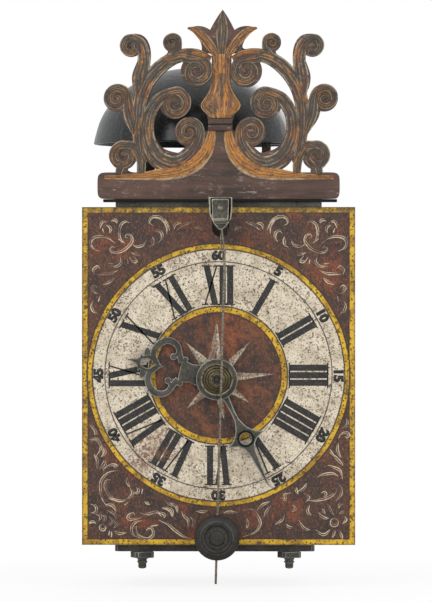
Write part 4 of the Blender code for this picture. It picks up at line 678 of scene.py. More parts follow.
def raiseFace(obj, inset, height):  # the slope round the raised face takes the lighter edge finish: worn bright, with a painted highlight
    bpy.ops.mesh.select_mode(type="FACE")
    bpy.ops.mesh.select_all(action="DESELECT")
    leaveEdit()
    front = min(v.co.y for v in obj.data.vertices)
    for face in obj.data.polygons:
        face.select = face.normal.y < -0.9 and face.center.y < front + raisedDepth * mm
    bpy.ops.object.mode_set(mode="EDIT")
    bpy.ops.mesh.inset(thickness=inset * mm, depth=height * mm)
    bpy.ops.mesh.select_mode(type="VERT")
    leaveEdit()
    for face in obj.data.polygons:
        if -0.95 < face.normal.y < -0.3:
            face.material_index = 1


def softenedCopy(name):
    obj = plainCopy(name)
    editAll(obj)
    bpy.ops.mesh.dissolve_limited(angle_limit=math.radians(1))
    if name in raisedFaces:
        raiseFace(obj, *raisedFaces[name])
    leaveEdit()
    softEdges(obj, edgeWidths[slotOf[name]], tooling["bevel"])
    mergeSlivers(obj)
    smoothed(obj, tooling["soft"])
    return obj


for nodeName in sorted(set(nodes) - madeByHand):
    piece = softenedCopy(nodeName)
    placePiece(piece, nodeName + "_worn", nodes[nodeName]["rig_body"], slotOf[nodeName], None, nodeName)
railLow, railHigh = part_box("crest_rail")
for vert in bpy.data.objects["crest_rail_worn"].data.vertices:
    vert.co.z += (railSeam if vert.co.z > (railLow.z + railHigh.z) / 2 else -railSeam) * mm
dressed(nodes["dial_plate"], finishes["dial_paint"])
print("softened pieces:", len(nodes) - len(madeByHand))

threadLook = {
    "core": 3.05, "crest": 3.95, "pitch": 2.3, "turn": (0.4, 0.55, 0.95), "steps": 32, "tip": 1.4,
    "inner": 0.8, "edge": 0.22, "overlap": 0.3,
}


def threadProfile(length, look):
    core, crest, pitch = look["core"], look["crest"], look["pitch"]
    profile = [(core, 0)]
    for i in range(int((length - look["tip"]) / pitch)):
        profile += [(r, -(i + share) * pitch) for r, share in zip((crest, crest, core), look["turn"])]
    return profile + [(core, look["tip"] * 0.6 - length), (core * 0.8, -length), (0.3, -length - 0.4)]


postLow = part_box("front_left_post")[0]
nutLow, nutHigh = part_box("front_left_nut")
threadTop = nutLow.z + threadLook["overlap"] * mm
threadLine = threadProfile((threadTop - postLow.z) / mm, threadLook)
threadPiece = turnedPiece(threadLine, Vector((0, 0, threadTop)), Vector((0, 0, 1)), threadLook["steps"])
dressed(threadPiece, finishes["frame_iron"], edges["frame_iron"])
softEdges(threadPiece, threadLook["edge"], tooling["bevel"])
mergeSlivers(threadPiece)
for corner in ("front_left", "front_right", "rear_left", "rear_right"):
    nutLow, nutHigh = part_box(corner + "_nut")
    middle = (nutLow + nutHigh) / 2
    for vert in bpy.data.objects[corner + "_post_worn"].data.vertices:
        if vert.co.z < nutLow.z:  # the thread stands round a thinner core
            vert.co.x = middle.x + (vert.co.x - middle.x) * threadLook["inner"]
            vert.co.y = middle.y + (vert.co.y - middle.y) * threadLook["inner"]
    thread = ownCopy(threadPiece)
    thread.location = (middle.x, middle.y, 0)
    placePiece(thread, corner + "_thread", "frame", slotOf[corner + "_post"], None)
bpy.data.objects.remove(threadPiece)

cockLook = {  # panels: half width above and below, drop from the top to each; all in mm
    "panel": (6.5, 5.9, 1.6, 16.4), "step": (5.6, 4.5, 17.5, 19.7), "proud": (1.2, 0.6), "sunk": 0.3,
    "screw": 8.6, "head": ((2.3, 0.2), (2.3, -0.5), (1.955, -1.0), (1.15, -1.3), (0.2, -1.4)), "steps": 32,
}
cockLow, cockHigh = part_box("pendulum_cock")
cockMiddle = (cockLow.x + cockHigh.x) / 2


def cockPanel(corners, proud):
    wide, narrow, upper, lower = corners
    clearSelection()
    bpy.ops.mesh.primitive_cube_add(size=1)
    obj = bpy.context.object
    for vert in obj.data.vertices:
        half, drop = (wide, upper) if vert.co.z > 0 else (narrow, lower)
        x = cockMiddle + (half if vert.co.x > 0 else -half) * mm
        y = cockLow.y + (cockLook["sunk"] if vert.co.y > 0 else -proud) * mm
        vert.co = (x, y, cockHigh.z - drop * mm)
    dressed(obj, cockIron, cockEdge)
    soft = min(0.5 * proud, 0.14 * (lower - upper))
    # The bevel takes the second material, cockEdge, as a painted highlight round each panel.
    applyModifier(obj, "BEVEL", width=soft * mm, segments=2, limit_method="NONE", material=1)
    return obj


panelProud, stepProud = cockLook["proud"]
cockFace = [cockPanel(cockLook["panel"], panelProud), cockPanel(cockLook["step"], stepProud)]
screwSpot = Vector((cockMiddle, cockLow.y - panelProud * mm, cockHigh.z - cockLook["screw"] * mm))
screw = turnedPiece(cockLook["head"], screwSpot, Vector((0, 1, 0)), cockLook["steps"])
dressed(screw, finishes["steel"])
placePiece(joined(cockFace + [screw]), "cock_face", "frame", "frame_iron", None)
print("threads and cock face made")


# Bell, bob and cap, turned

bellLook = {
    "height": 58, "wall": 2.8, "hole": 3.4, "steps": 96, "points": 22, "round": 0.985, "flare": 0.015,
    "lip": (0.6, 0.7), "crown": (0.1, 0.12),
}
bellLow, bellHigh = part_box("bell")
bellCentre = Vector(((bellLow.x + bellHigh.x) / 2, (bellLow.y + bellHigh.y) / 2, bellLow.z))
bellRadius = (bellHigh.x - bellLow.x) / 2 / mm


def bellSide(share, look):  # radius at a share of the height
    dome = math.sqrt(max(0, 1 - (share * look["round"]) ** 2)) * look["round"]
    return bellRadius * (dome + look["flare"] * max(0, 1 - 6 * share))


def bellProfile(look):
    height, wall, hole = look["height"], look["wall"], look["hole"]
    shares = [math.sin(math.pi / 2 * i / look["points"]) for i in range(look["points"])]
    rim = bellSide(0, look)
    lipIn, lipUp = look["lip"]
    crownOuter, crownInner = (bellRadius * share for share in look["crown"])
    outer = [(rim - lipIn, 0), (rim, lipUp)] + [(bellSide(s, look), s * height) for s in shares[1:]]
    outer += [(crownOuter, height), (hole, height)]
    inner = [(hole, height - wall), (crownInner, height - wall)]
    inner += [(bellSide(s, look) - wall, s * (height - wall)) for s in shares[:0:-1]]
    return outer + inner + [(rim - wall, 0)]


bell = turnedPiece(bellProfile(bellLook), bellCentre, Vector((0, 0, 1)), bellLook["steps"], True)
placePiece(bell, "turned_bell", "frame", "bell_metal", finishes["bell_metal"], "bell")

bobLook = {  # radius and height of the face
    "steps": 72,
    "face": ((0.2, 6.4), (5.0, 6.4), (5.4, 6.2), (6.6, 5.2), (8.8, 5.1), (9.3, 5.4), (10.2, 6.4), (10.8, 6.5),
             (11.4, 6.1), (14.5, 3.9), (16.4, 2.2), (16.9, 1.4), (16.9, 0)),
}
bobLow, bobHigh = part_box("pendulum_bob")
bobCentre = (bobLow + bobHigh) / 2
bobProfile = [(r, -t) for r, t in bobLook["face"]] + [(r, t) for r, t in bobLook["face"][-2::-1]]
bob = turnedPiece(bobProfile, bobCentre, Vector((0, 1, 0)), bobLook["steps"])
placePiece(bob, "turned_bob", "bob", "bob_iron", finishes["bob_iron"], "pendulum_bob")

capLook = {
    "steps": 72,
    "face": (
        (3.7, 0), (12.6, 0), (12.8, 0.2), (12.8, 1.3), (12.6, 1.7), (12.1, 2.0), (11.6, 1.8), (11.0, 1.1),
        (10.3, 0.9), (9.8, 1.3), (8.9, 1.8), (8.5, 1.3), (8.1, 1.9), (7.0, 2.3), (6.6, 1.8), (6.2, 2.4),
        (4.8, 3.0), (4.3, 2.5), (3.8, 3.2), (3.4, 3.6), (2.9, 3.7), (2.6, 3.5), (2.6, 2.3), (3.7, 2.3),
    ),
}
capLow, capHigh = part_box("hand_cap")
capCentre = Vector(((capLow.x + capHigh.x) / 2, capHigh.y, (capLow.z + capHigh.z) / 2))
capProfile = [(r, -t) for r, t in capLook["face"]]
cap = turnedPiece(capProfile, capCentre, Vector((0, 1, 0)), capLook["steps"], True)
placePiece(cap, "turned_cap", "minute", "brass", finishes["brass"], "hand_cap")

eyeLook = {  # raised ring round the minute hand's eye
    "reach": 49.2, "angle": 154, "steps": 48,
    "face": ((4.7, -0.2), (4.7, 0.5), (5.0, 0.8), (5.5, 0.9), (6.0, 0.8), (6.3, 0.5), (6.3, -0.2)),
}
eyeTurn = math.radians(eyeLook["angle"])
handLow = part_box("minute_hand")[0]
eyeSpot = capCentre + Vector((math.sin(eyeTurn), 0, math.cos(eyeTurn))) * eyeLook["reach"] * mm
eyeSpot.y = handLow.y
eyeProfile = [(r, -t) for r, t in eyeLook["face"]]
eyeRing = turnedPiece(eyeProfile, eyeSpot, Vector((0, 1, 0)), eyeLook["steps"], True)
placePiece(eyeRing, "minute_eye_ring", "minute", "hand_iron", railIron)

leafLook = {  # side leaves of the hour hand's tip, across and along it in mm
    "turn": 283, "proud": 0.15, "edge": 0.3,
    "outline": (
        (3.6, 50.8), (6.6, 52.4), (9.6, 53.2), (12.2, 56.2), (10, 57.6), (7, 57.6), (4.8, 57.2), (3.4, 55.2),
    ),
}
hourLow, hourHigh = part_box("hour_hand")
clearSelection()
bpy.ops.mesh.primitive_circle_add(vertices=len(leafLook["outline"]), radius=1, fill_type="NGON")
leaves = bpy.context.object
for vert, (across, reach) in zip(leaves.data.vertices, leafLook["outline"]):
    vert.co = (across * mm, hourLow.y - leafLook["proud"] * mm, reach * mm)
thickened(leaves, (hourHigh.y - hourLow.y) / mm)
dressed(leaves, finishes["hand_iron"], edges["hand_iron"])
applyModifier(leaves, "MIRROR")
softEdges(leaves, leafLook["edge"], tooling["bevel"])
leaves.rotation_euler = (0, math.radians(leafLook["turn"]), 0)
leaves.location = (capCentre.x, 0, capCentre.z)
placePiece(leaves, "hour_leaves", "hour", "hand_iron", None)
print("turned pieces made")


# Dial: numerals, star and scrollwork

dialLow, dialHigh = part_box("dial_plate")
dialFront = dialLow.y
paintDepth = 0.05  # mm
numeralLook = {
    "foot": 53.2, "top": 82.0, "thick": 4.65, "thin": 1.2, "gap": 1.0, "vee": 11.5, "ex": 11.0,
    "veeFoot": (-0.4, 0.6), "serif": 1.05, "thickReach": 1.5, "thinReach": 1.8, "lift": 0.03,
    "serifLift": 0.04,
}


def dialPlate(corners, lift):  # one flat painted stroke, corners in mm
    clearSelection()
    bpy.ops.mesh.primitive_plane_add(size=1)
    obj = bpy.context.object
    order = sorted(obj.data.vertices, key=lambda v: math.atan2(v.co.y, v.co.x))
    for vert, (x, z) in zip(order, corners):
        vert.co = (x * mm, dialFront - lift * mm, z * mm)
    return obj


def around(angle, radius, offset):  # clockwise from the top, offset to the right of the radius
    x, z = dialLook["chapterCentre"]
    sine, cosine = math.sin(angle), math.cos(angle)
    return x + sine * radius + cosine * offset, z + cosine * radius - sine * offset


def numeralStrokes(text, look):  # offset at foot, offset at top and width of each stroke
    thick, thin = look["thick"], look["thin"]
    footLeft, footRight = look["veeFoot"]
    widths = {"I": thick, "V": look["vee"], "X": look["ex"]}
    start = -(sum(widths[c] for c in text) + look["gap"] * (len(text) - 1)) / 2
    strokes = []
    for c in text:
        half = widths[c] / 2
        middle = start + half
        left, right = middle - half + thick / 2, middle + half - thin
        if c == "I":
            strokes.append((middle, middle, thick))
        elif c == "V":
            strokes += [(middle + footLeft, left, thick), (middle + footRight, right, thin)]
        else:
            strokes += [(middle + half - thick / 2, left, thick), (middle - half + thin, right, thin)]
        start += widths[c] + look["gap"]
    return strokes


def romanNumeral(text, angle, look):
    foot, top, serif = look["foot"], look["top"], look["serif"] / 2
    plates = []
    for low, high, width in numeralStrokes(text, look):
        half = width / 2
        corners = [(low - half, foot), (low + half, foot), (high + half, top), (high - half, top)]
        plates.append(dialPlate([around(angle, r, o) for o, r in corners], look["lift"]))
        for spot, radius in ((low, foot), (high, top)):
            if text[0] == "V" and radius == foot and width == look["thin"]:
                continue
            reach = half + (look["thickReach"] if width == look["thick"] else look["thinReach"])
            corners = [(spot - reach, radius - serif), (spot + reach, radius - serif),
                       (spot + reach, radius + serif), (spot - reach, radius + serif)]
            plates.append(dialPlate([around(angle, r, o) for o, r in corners], look["serifLift"]))
    return plates


numerals = []
for hour, text in enumerate(("I", "II", "III", "IIII", "V", "VI", "VII", "VIII", "IX", "X", "XI", "XII"), 1):
    numerals += romanNumeral(text, math.radians(30 * hour), numeralLook)

minuteLook = {"foot": 86.2, "height": 7.8, "weight": 0.07, "widen": 1.1}
for step in range(1, 13):
    clearSelection()
    bpy.ops.object.text_add()
    words = bpy.context.object
    words.data.body = str(step * 5)
    words.data.align_x = "CENTER"
    words.data.offset = minuteLook["weight"]
    words.data.resolution_u = 4
    bpy.ops.object.convert(target="MESH")
    obj = bpy.context.object
    high = max(v.co.y for v in obj.data.vertices)
    low = min(v.co.y for v in obj.data.vertices)
    scale = minuteLook["height"] / (high - low)
    for vert in obj.data.vertices:
        reach = minuteLook["foot"] + (vert.co.y - low) * scale
        x, z = around(math.radians(30 * step), reach, vert.co.x * scale * minuteLook["widen"])
        vert.co = (x * mm, dialFront - numeralLook["lift"] * mm, z * mm)
    numerals.append(obj)
numerals = joined(numerals)
thickened(numerals, -paintDepth)
placePiece(numerals, "dial_numerals", "frame", "dial_paint", numeralPaint)

starLook = {  # degrees clockwise from the top and mm, rays and valleys in turn
    "rim": ((0, 45), (19, 11), (41, 38), (58, 10), (84.5, 44), (102, 10), (126, 30), (148, 10),
            (170, 31), (198, 10), (226, 32), (248, 10), (270, 36), (295.5, 10), (320, 36), (336, 16.5)),
    "lift": 0.05,
}
starCount = len(starLook["rim"])
clearSelection()
bpy.ops.mesh.primitive_circle_add(vertices=starCount, radius=1, fill_type="NGON")
star = bpy.context.object
editAll(star)
bpy.ops.mesh.poke()
leaveEdit()
dressed(star, starLight, starDark)
for face in star.data.polygons:
    turn = math.atan2(face.center.x, face.center.y)
    face.material_index = math.floor(turn / math.tau * starCount) % 2
for vert in star.data.vertices:
    angle, reach = 0, 0
    if vert.co.length > 0.5:  # not the middle
        step = round(math.atan2(vert.co.x, vert.co.y) / math.tau * starCount)
        angle, reach = starLook["rim"][step % starCount]
    turn = math.radians(angle)
    vert.co = capCentre + Vector((math.sin(turn), 0, math.cos(turn))) * reach * mm
    vert.co.y = dialFront - starLook["lift"] * mm
thickened(star, -paintDepth)
placePiece(star, "dial_star", "frame", "dial_paint", None)

# Painted strokes, in mm outwards from the dial's middle line and down from its top edge
scrollLook = {
    "width": 0.8, "lift": 0.14, "beside": 1.5, "thinner": 0.55, "samples": 5,
    "upper": (
        ((89, 33.2), (93.3, 31.5), (95.5, 27.2), (93.3, 23.7), (87.7, 22.7), (81.7, 24.2), (77.8, 27.2)),
        ((78.3, 30.6), (79.6, 29.7), (81.7, 31.5), (80, 34.1), (74.8, 34.5), (69.7, 32.3), (65.4, 28),
         (64.1, 24.6), (65.4, 21.1), (68.8, 20.3), (70.1, 22.4), (67.9, 23.3)),
        ((70.5, 27.2), (73.5, 22.9), (73.8, 17.7), (72.2, 13), (69.2, 11.2), (66.6, 11.7)),
        ((75.3, 23.7), (71.4, 26.7)),
        ((89, 16), (86.9, 11.7), (84.3, 11.2)),
        ((86, 19.4), (87.3, 16)),
        ((84.3, 13.4), (81.7, 16), (81.7, 19.4)),
        ((80.9, 10.4), (77.8, 10.4), (76.1, 12.1)),
        ((49, 13.8), (51.6, 12.1), (50.3, 8.7), (45.6, 7.8), (40.8, 10.4), (37.8, 14.2), (36.5, 17.7)),
        ((47.3, 8.2), (43, 9.5), (39.5, 14.2), (38.7, 20.3)),
        ((47.3, 19.4), (46, 18.1), (43.4, 19.8), (43, 23.7), (44.7, 26.3)),
        ((64.5, 28), (61.1, 30.2), (56.7, 29.3), (54.6, 25.4)),
        ((52.4, 30.2), (49, 28), (48.6, 24.2), (49.9, 22.4)),
        ((33.5, 16.8), (31.8, 13.4), (27.5, 12.1)),
        ((31.8, 17.7), (26.6, 14.2), (22.7, 12.5), (19.7, 10.8)),
        ((18, 15.5), (14.6, 16), (12, 17.7)),
        ((74, 37.5), (73.5, 40.9), (76.6, 44), (81.7, 44.4)),
        ((83, 42.2), (79.1, 42.7)),
        ((65.4, 34.1), (61.9, 36.2), (58.9, 36.2)),
        ((67.1, 37.5), (64.9, 40.9), (62.3, 41.8), (61.1, 40.1), (64.1, 36.6)),
        ((68.4, 39.2), (67.9, 42.7)),
        ((89, 46.1), (91.2, 44), (94.6, 47), (93.3, 50.4)),
        ((91.6, 50.4), (86.9, 50.8), (80.9, 50.4), (75.7, 47.4)),
        ((86.9, 58.2), (81.7, 56.9), (78.3, 53)),
        ((91.2, 60.3), (93.3, 58.6), (95.9, 60.7), (93.3, 64.2), (90.3, 65.1)),
        ((93.8, 70.2), (95.9, 74.5), (94.6, 78.4), (91.2, 79.7)),
        ((89, 66.8), (90.3, 71.1)),
    ),
    "lowerLeft": (
        ((95.1, 177.9), (95.6, 176), (92.2, 174.5), (89.4, 177.9), (89.4, 182.7), (92.2, 187.5)),
        ((76.9, 196.1), (78.4, 195.1), (75.5, 194.2), (78.9, 192.7), (83.2, 194.2), (87, 198)),
        ((80.8, 204.7), (84.6, 205.2), (86, 209.5), (83.6, 215.2), (77.9, 220), (72.2, 220.9)),
        ((68.3, 202.8), (69.3, 206.6), (66.4, 210.4)),
        ((61.6, 209.9), (60.7, 213.3), (63.5, 214.7)),
        ((56.8, 211.4), (57.8, 215.2)),
        ((70.7, 223.8), (67.8, 221.4)),
        ((63.1, 231), (64, 229.5), (67.4, 230.5), (68.8, 233.4), (66.4, 235.3), (61.6, 234.3), (57.8, 232.9)),
        ((58.8, 229.5), (53, 231), (46.3, 229.5), (42.5, 232.4)),
        ((44.9, 234.8), (38.7, 238.2), (32.9, 243.4), (26.2, 247.7), (20, 248.7)),
        ((53.5, 243.4), (54, 242), (50.6, 241.5), (49.7, 245.3), (53, 248.2), (58.8, 246.8), (61.6, 242.9),
         (61.6, 239.1)),
        ((51.1, 239.6), (45.4, 238.6)),
        ((38.7, 220.9), (32.9, 224.8), (31, 229.5)),
        ((41.5, 225.2), (35.8, 227.6), (34.4, 232.4)),
        ((27.7, 228.1), (26.2, 232.4), (23.4, 235.3), (22.9, 240.1)),
        ((96.1, 222.8), (92.7, 224.8), (92.7, 228.6), (96.1, 229.5)),
        ((97.5, 236.7), (92.2, 236.7)),
        ((77.9, 244.4), (74.1, 245.8), (69.3, 244.4)),
        ((80.3, 243.4), (80.3, 247.7)),
        ((97, 163.5), (93.2, 168.3), (93.2, 171.2)),
        ((93.2, 186), (91.8, 190.3), (92.2, 194.2)),
        ((86, 190.3), (89.4, 197)),
        ((87, 238.1), (88.8, 238.8), (89.5, 240.6), (88.8, 242.4), (87, 243.1), (85.2, 242.4), (84.5, 240.6),
         (85.2, 238.8), (87, 238.1)),
        ((81.8, 243), (82.4, 246.5)),
        ((78.5, 243.2), (75.5, 243.6)),
        ((97.1, 163.6), (95.2, 165), (94.4, 166.9)),
        ((97.1, 174.3), (92.3, 175), (88.5, 179.8), (86.4, 185.6)),
        ((93.5, 185.6), (91.6, 190.3), (91.2, 196.1)),
        ((84.7, 190.3), (85.8, 193.7), (88, 196.6)),
        ((75.1, 197.8), (82.6, 199), (88, 203.7), (89.4, 210.4), (88, 218.1), (83.7, 224.8)),
        ((66.3, 210.9), (65.3, 215.2), (69.2, 219.2)),
        ((55.5, 221), (53.9, 222.7), (51.7, 223.4)),
        ((40.7, 219.3), (37.6, 223.1), (32.1, 225), (30.5, 229.1)),
        ((42.6, 225.6), (37, 228.2), (34.7, 232.6)),
        ((16.9, 228.2), (12, 229.3), (7.7, 227.7)),
        ((58.6, 248.9), (63.6, 246), (64.4, 240.3), (60.9, 236.3), (57.7, 235.3)),
        ((92.5, 230.5), (89.3, 232.2), (90, 235.5)),
        ((87.9, 230.7), (85.4, 233.4), (86.8, 236.1)),
        ((82, 232.2), (79.7, 236.1), (82.6, 238.4)),
        ((97.3, 238), (94.7, 236.8), (91.9, 237.6)),
        ((78.9, 235.1), (76.8, 237.8), (78.9, 240.9)),
        ((85.6, 222.7), (79.9, 224.8), (76.8, 228.8)),
        ((83.9, 227.7), (78.7, 230.7), (76.8, 234.5)),
        ((87, 179.8), (85.8, 183.7), (88.3, 187.7)),
        ((83.2, 218.1), (78.9, 220), (73.2, 221.2), (68.4, 219)),
        ((46.4, 229.1), (41.6, 231), (40.7, 233.4)),
        ((21, 232.4), (19.1, 236.3), (20.1, 240.1)),
    ),
    "lowerRight": (
        ((93, 166), (95.9, 163.1), (96.1, 158.3)),
        ((90, 173.6), (92.3, 169.8), (96.7, 168.5), (98.2, 171.2), (96.5, 173.3), (94.6, 171.8)),
        ((89.7, 177), (90, 182.2), (91.9, 188)),
        ((84.2, 184.1), (88.3, 187.3), (92.1, 191.3), (93.2, 194.2)),
        ((81.6, 193.7), (87.3, 194.9), (91.7, 197.5), (93, 204.2)),
        ((83.3, 181.7), (85.2, 183.8), (86.7, 186.7)),
        ((73.7, 203), (78.7, 200.1), (85.4, 199.3), (90, 202)),
        ((88.1, 206.4), (92.3, 210.4), (92.3, 216.2), (88.1, 220.2)),
        ((89.2, 210.4), (87.3, 215.2), (81.6, 219), (73.9, 220.6), (67, 220)),
        ((77, 214.8), (79.6, 213.3), (81.4, 215.6), (78.9, 217.7)),
        ((64.1, 215), (68.4, 217.6), (66.1, 220.8)),
        ((59.4, 213.5), (63.4, 210.6), (66.1, 207.1)),
        ((58.2, 210.2), (59.1, 212.5), (59.7, 215.4)),
        ((46.4, 217.9), (49.5, 219), (49.2, 215.4), (54.4, 214.5)),
        ((28.8, 227.8), (32.6, 222.9), (38.7, 220.8)),
        ((34.1, 232.6), (35.6, 227.7), (39.7, 223.8)),
        ((49.4, 230.3), (48.1, 235.3), (42.1, 238.4)),
        ((3.9, 229.8), (7.9, 228), (14.8, 229.2)),
        ((19.2, 227.8), (25.1, 226.7), (29.9, 231.5), (32, 237.4), (28, 243.9), (18.2, 247.4)),
        ((21.1, 233.2), (22.6, 238), (20.7, 241.2)),
        ((86.8, 233.7), (89, 234.5), (89.9, 236.7), (89, 238.9), (86.8, 239.8), (84.6, 238.9), (83.8, 236.7),
         (84.6, 234.5), (86.8, 233.7)),
        ((74.7, 229), (78.7, 232.1), (82.7, 233.6)),
        ((77.5, 226.5), (79.3, 227.8), (80, 230.1)),
        ((90.7, 230.1), (92.3, 228.4), (94.6, 227.7)),
        ((94.2, 222.7), (91.6, 223.6), (90, 226.1)),
        ((94.8, 232.2), (96.3, 235.1), (93, 237.6)),
        ((72.8, 242), (78.7, 245.1), (83.7, 241.8)),
        ((87.5, 242.8), (87.1, 245.4), (85.2, 248.1)),
        ((91.1, 243.5), (92.7, 246), (93, 248.9)),
        ((68.2, 223.6), (67.6, 228.6), (70.3, 231.3)),
        ((50.8, 238), (53.2, 239.5), (56.1, 239.9)),
        ((60.3, 235.1), (64.3, 240.1), (68.5, 242.2)),
        ((55.3, 223.6), (58.8, 226.5), (54.6, 228.8)),
        ((81.6, 222.9), (84, 225.7), (86.3, 231)),
    ),
}


def besideLine(line, offset):  # a shorter stroke beside the first, closing in at both ends
    count = len(line) - 1
    beside = []
    for i in range(round(count * 0.18), round(count * 0.86) + 1):
        before, after = line[max(i - 1, 0)], line[min(i + 1, count)]
        dx, dz = after[0] - before[0], after[1] - before[1]
        length = math.hypot(dx, dz) or 1
        reach = offset * math.sin(math.pi * i / count)
        beside.append((line[i][0] - dz / length * reach, line[i][1] + dx / length * reach))
    return beside


def brushSwell(count):  # thin at both ends, full in the middle
    return [0.25 + 0.95 * math.sin(math.pi * (i + 0.6) / (count + 0.4)) for i in range(count)]


def paintedScrolls(look):
    lines = []
    top = dialHigh.z / mm
    for side, place in ((-1, "upper"), (1, "upper"), (-1, "lowerLeft"), (1, "lowerRight")):
        for stroke in look[place]:
            line = smoothLine(stroke, look["samples"])
            pair = [(line, 1.0)]
            if len(stroke) > 2:
                pair.append((besideLine(line, look["beside"]), look["thinner"]))
            for line, weight in pair:
                weights = [weight * share for share in brushSwell(len(line))]
                lines.append([(side * x, 0, top - drop, w) for (x, drop), w in zip(line, weights)])
    obj = roundStrokes("scrolls", lines, look["width"] / 2, 1)
    editAll(obj)
    bpy.ops.transform.resize(value=(1, look["lift"], 1), center_override=(0, 0, 0))
    bpy.ops.transform.translate(value=(0, dialFront, 0))
    leaveEdit()
    bpy.ops.object.shade_smooth()
    return obj


placePiece(paintedScrolls(scrollLook), "dial_scrolls", "frame", "dial_paint", scrollPaint)
print("dial painted")


# Crest: board with carved bands

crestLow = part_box("crest")[0]
crestLook = {
    "lean": 0.022, "base": crestLow.z / mm, "front": crestLow.y / mm, "cutBack": 2.6, "frontDepth": 4,
    "samples": 5, "across": 18, "proud": 2.9, "crown": (0.22, 0.5), "rounding": 2.6, "groove": (0.3, 0.12),
    "bandDepth": 2, "endRound": 4.5, "edge": 0.5,
}


def spiral(centre, radius, start, turns, widths, count=18):  # ends a band in a volute, angles in degrees
    points = []
    for i in range(1, count + 1):
        share = i / count
        angle = math.radians(start + 360 * turns * share)
        reach = radius * (1 - share ** 1.5) + 0.8
        points.append((centre[0] + reach * math.cos(angle), centre[1] + reach * math.sin(angle),
                       widths[0] + (widths[1] - widths[0]) * share))
    return points


# Bands of the right half: how far out, how high, how wide, all in mm
scrollBands = (
    [(58.4, 20, 6), (58.6, 28, 7), (61, 44.3, 8.6), (61.7, 59.3, 9.4), (60.8, 71.5, 10.1), (57.6, 83.7, 10.9),
     (51.2, 94, 10.9), (41.5, 103, 10.1), (31.3, 107.3, 9.4), (24, 106.2, 8.5)]
    + spiral((18.6, 96.2), 8.4, 75, 1.6, (8, 2.4)),
    spiral((34.2, 71.7), 8.8, 60, 1.7, (7.4, 2.2))[::-1]
    + [(45.9, 75.6, 9), (52.8, 64.9, 9.4), (54.8, 53.7, 10.1), (53.1, 42.4, 11), (46.8, 31.6, 12.2),
       (36, 26.5, 12.4), (26, 29.5, 11), (19, 37, 9.5), (15.5, 45, 8)]
    + spiral((23.6, 50.5), 8.2, 200, -1.7, (6.6, 2)),
    [(60.2, 78, 8), (60.5, 90, 11.5), (58.5, 102.4, 9.8), (58.8, 110, 9.2), (61, 116.5, 8.4),
     (65.5, 120.3, 7)]
    + spiral((68.2, 115), 5.6, 100, -1.5, (6, 2)),
    [(39, 105.5, 5), (35.5, 109, 6), (33, 113.5, 5.6)] + spiral((37.5, 117.8), 4.6, 190, -1.6, (4.6, 1.6)),
    [(63.2, 47, 3), (66.2, 57.5, 8.6), (68.5, 66, 9.5)] + spiral((78.2, 75.8), 7.8, 200, -1.7, (6.6, 2)),
    [(57, 27, 6), (60.5, 34, 8), (64.5, 40, 7)] + spiral((72.4, 32.5), 8.2, 145, -1.7, (6.4, 2)),
    [(75.5, 19, 5), (74.5, 24, 6), (73, 29, 6)],
)
strandBands = (
    [(6, 51.5, 5.5), (8, 42, 8), (13, 33, 10.5), (22, 25.5, 12), (36, 20.5, 10), (60, 17.6, 4.5),
     (86, 16.6, 2)],
)
leafBands = (
    [(3.5, 62, 3.5), (9, 66.5, 5.5), (12.4, 70.5, 5), (8.6, 77, 4.5), (5, 86, 3.4), (4, 100, 3.4),
     (4.6, 108, 4)],
    [(4, 107, 4), (8, 114, 7), (14, 121.5, 7), (20, 126.8, 5), (25.8, 128.6, 1.5)],
    [(36, 108.6, 3), (26, 110.6, 5), (16, 109, 5.5), (8, 105.5, 4)],
)
creamBands = (
    [(3.4, 50.5, 0.8), (4.3, 40.6, 1.4), (9, 29.6, 1.9), (19.1, 20.2, 2.3), (35, 15.6, 2.1),
     (59.8, 15.3, 1.7), (86, 15.5, 1.1)],
)
stemBand = [(0, 61, 16), (0, 66, 22), (0, 70.6, 27), (0, 75, 23), (0, 80.3, 16), (0, 87.4, 12), (0, 100, 12),
            (0, 109, 12)]
tipBand = [(0, 104, 3), (0, 114, 7), (0, 124, 9), (0, 132, 7.5), (0, 140.5, 1.5)]


def carvedBand(points, side, look, material, start, proud):
    line = smoothLine(points, look["samples"])
    count = len(line) - 1
    slope, least = look["crown"]  # wide bands stand prouder
    deep, wide = look["groove"]
    lengths = [start]
    for before, after in zip(line, line[1:]):
        lengths.append(lengths[-1] + math.dist(before[:2], after[:2]))
    clearSelection()
    bpy.ops.mesh.primitive_grid_add(
        x_subdivisions=count, y_subdivisions=look["across"], size=1, calc_uvs=True
    )
    obj = bpy.context.object
    floor = look["front"] + look["cutBack"]
    layer = obj.data.uv_layers.active.data
    spots = {v.index: (round((v.co.x + 0.5) * count), v.co.y * 2) for v in obj.data.vertices}
    for loop in obj.data.loops:
        i, s = spots[loop.vertex_index]
        layer[loop.index].uv = (lengths[i] / 100, (s + 1) / 2)
    for vert in obj.data.vertices:
        i, s = spots[vert.index]
        u, v, width = line[i]
        before, after = line[max(i - 1, 0)], line[min(i + 1, count)]
        du, dv = after[0] - before[0], after[1] - before[1]
        length = math.hypot(du, dv) or 1
        u, v = u - dv / length * s * width / 2, v + du / length * s * width / 2
        crown = min(slope * width + least, look["proud"]) * proud
        sunk = sum(deep * math.exp(-((s - g) / wide) ** 2) for g in crestGrooves)
        rise = crown * (1 - abs(s) ** look["rounding"]) - sunk
        vert.co = ((side * u + look["lean"] * v) * mm, (floor - rise) * mm, (look["base"] + v) * mm)
    thickened(obj, look["bandDepth"])
    dressed(obj, material)
    return obj


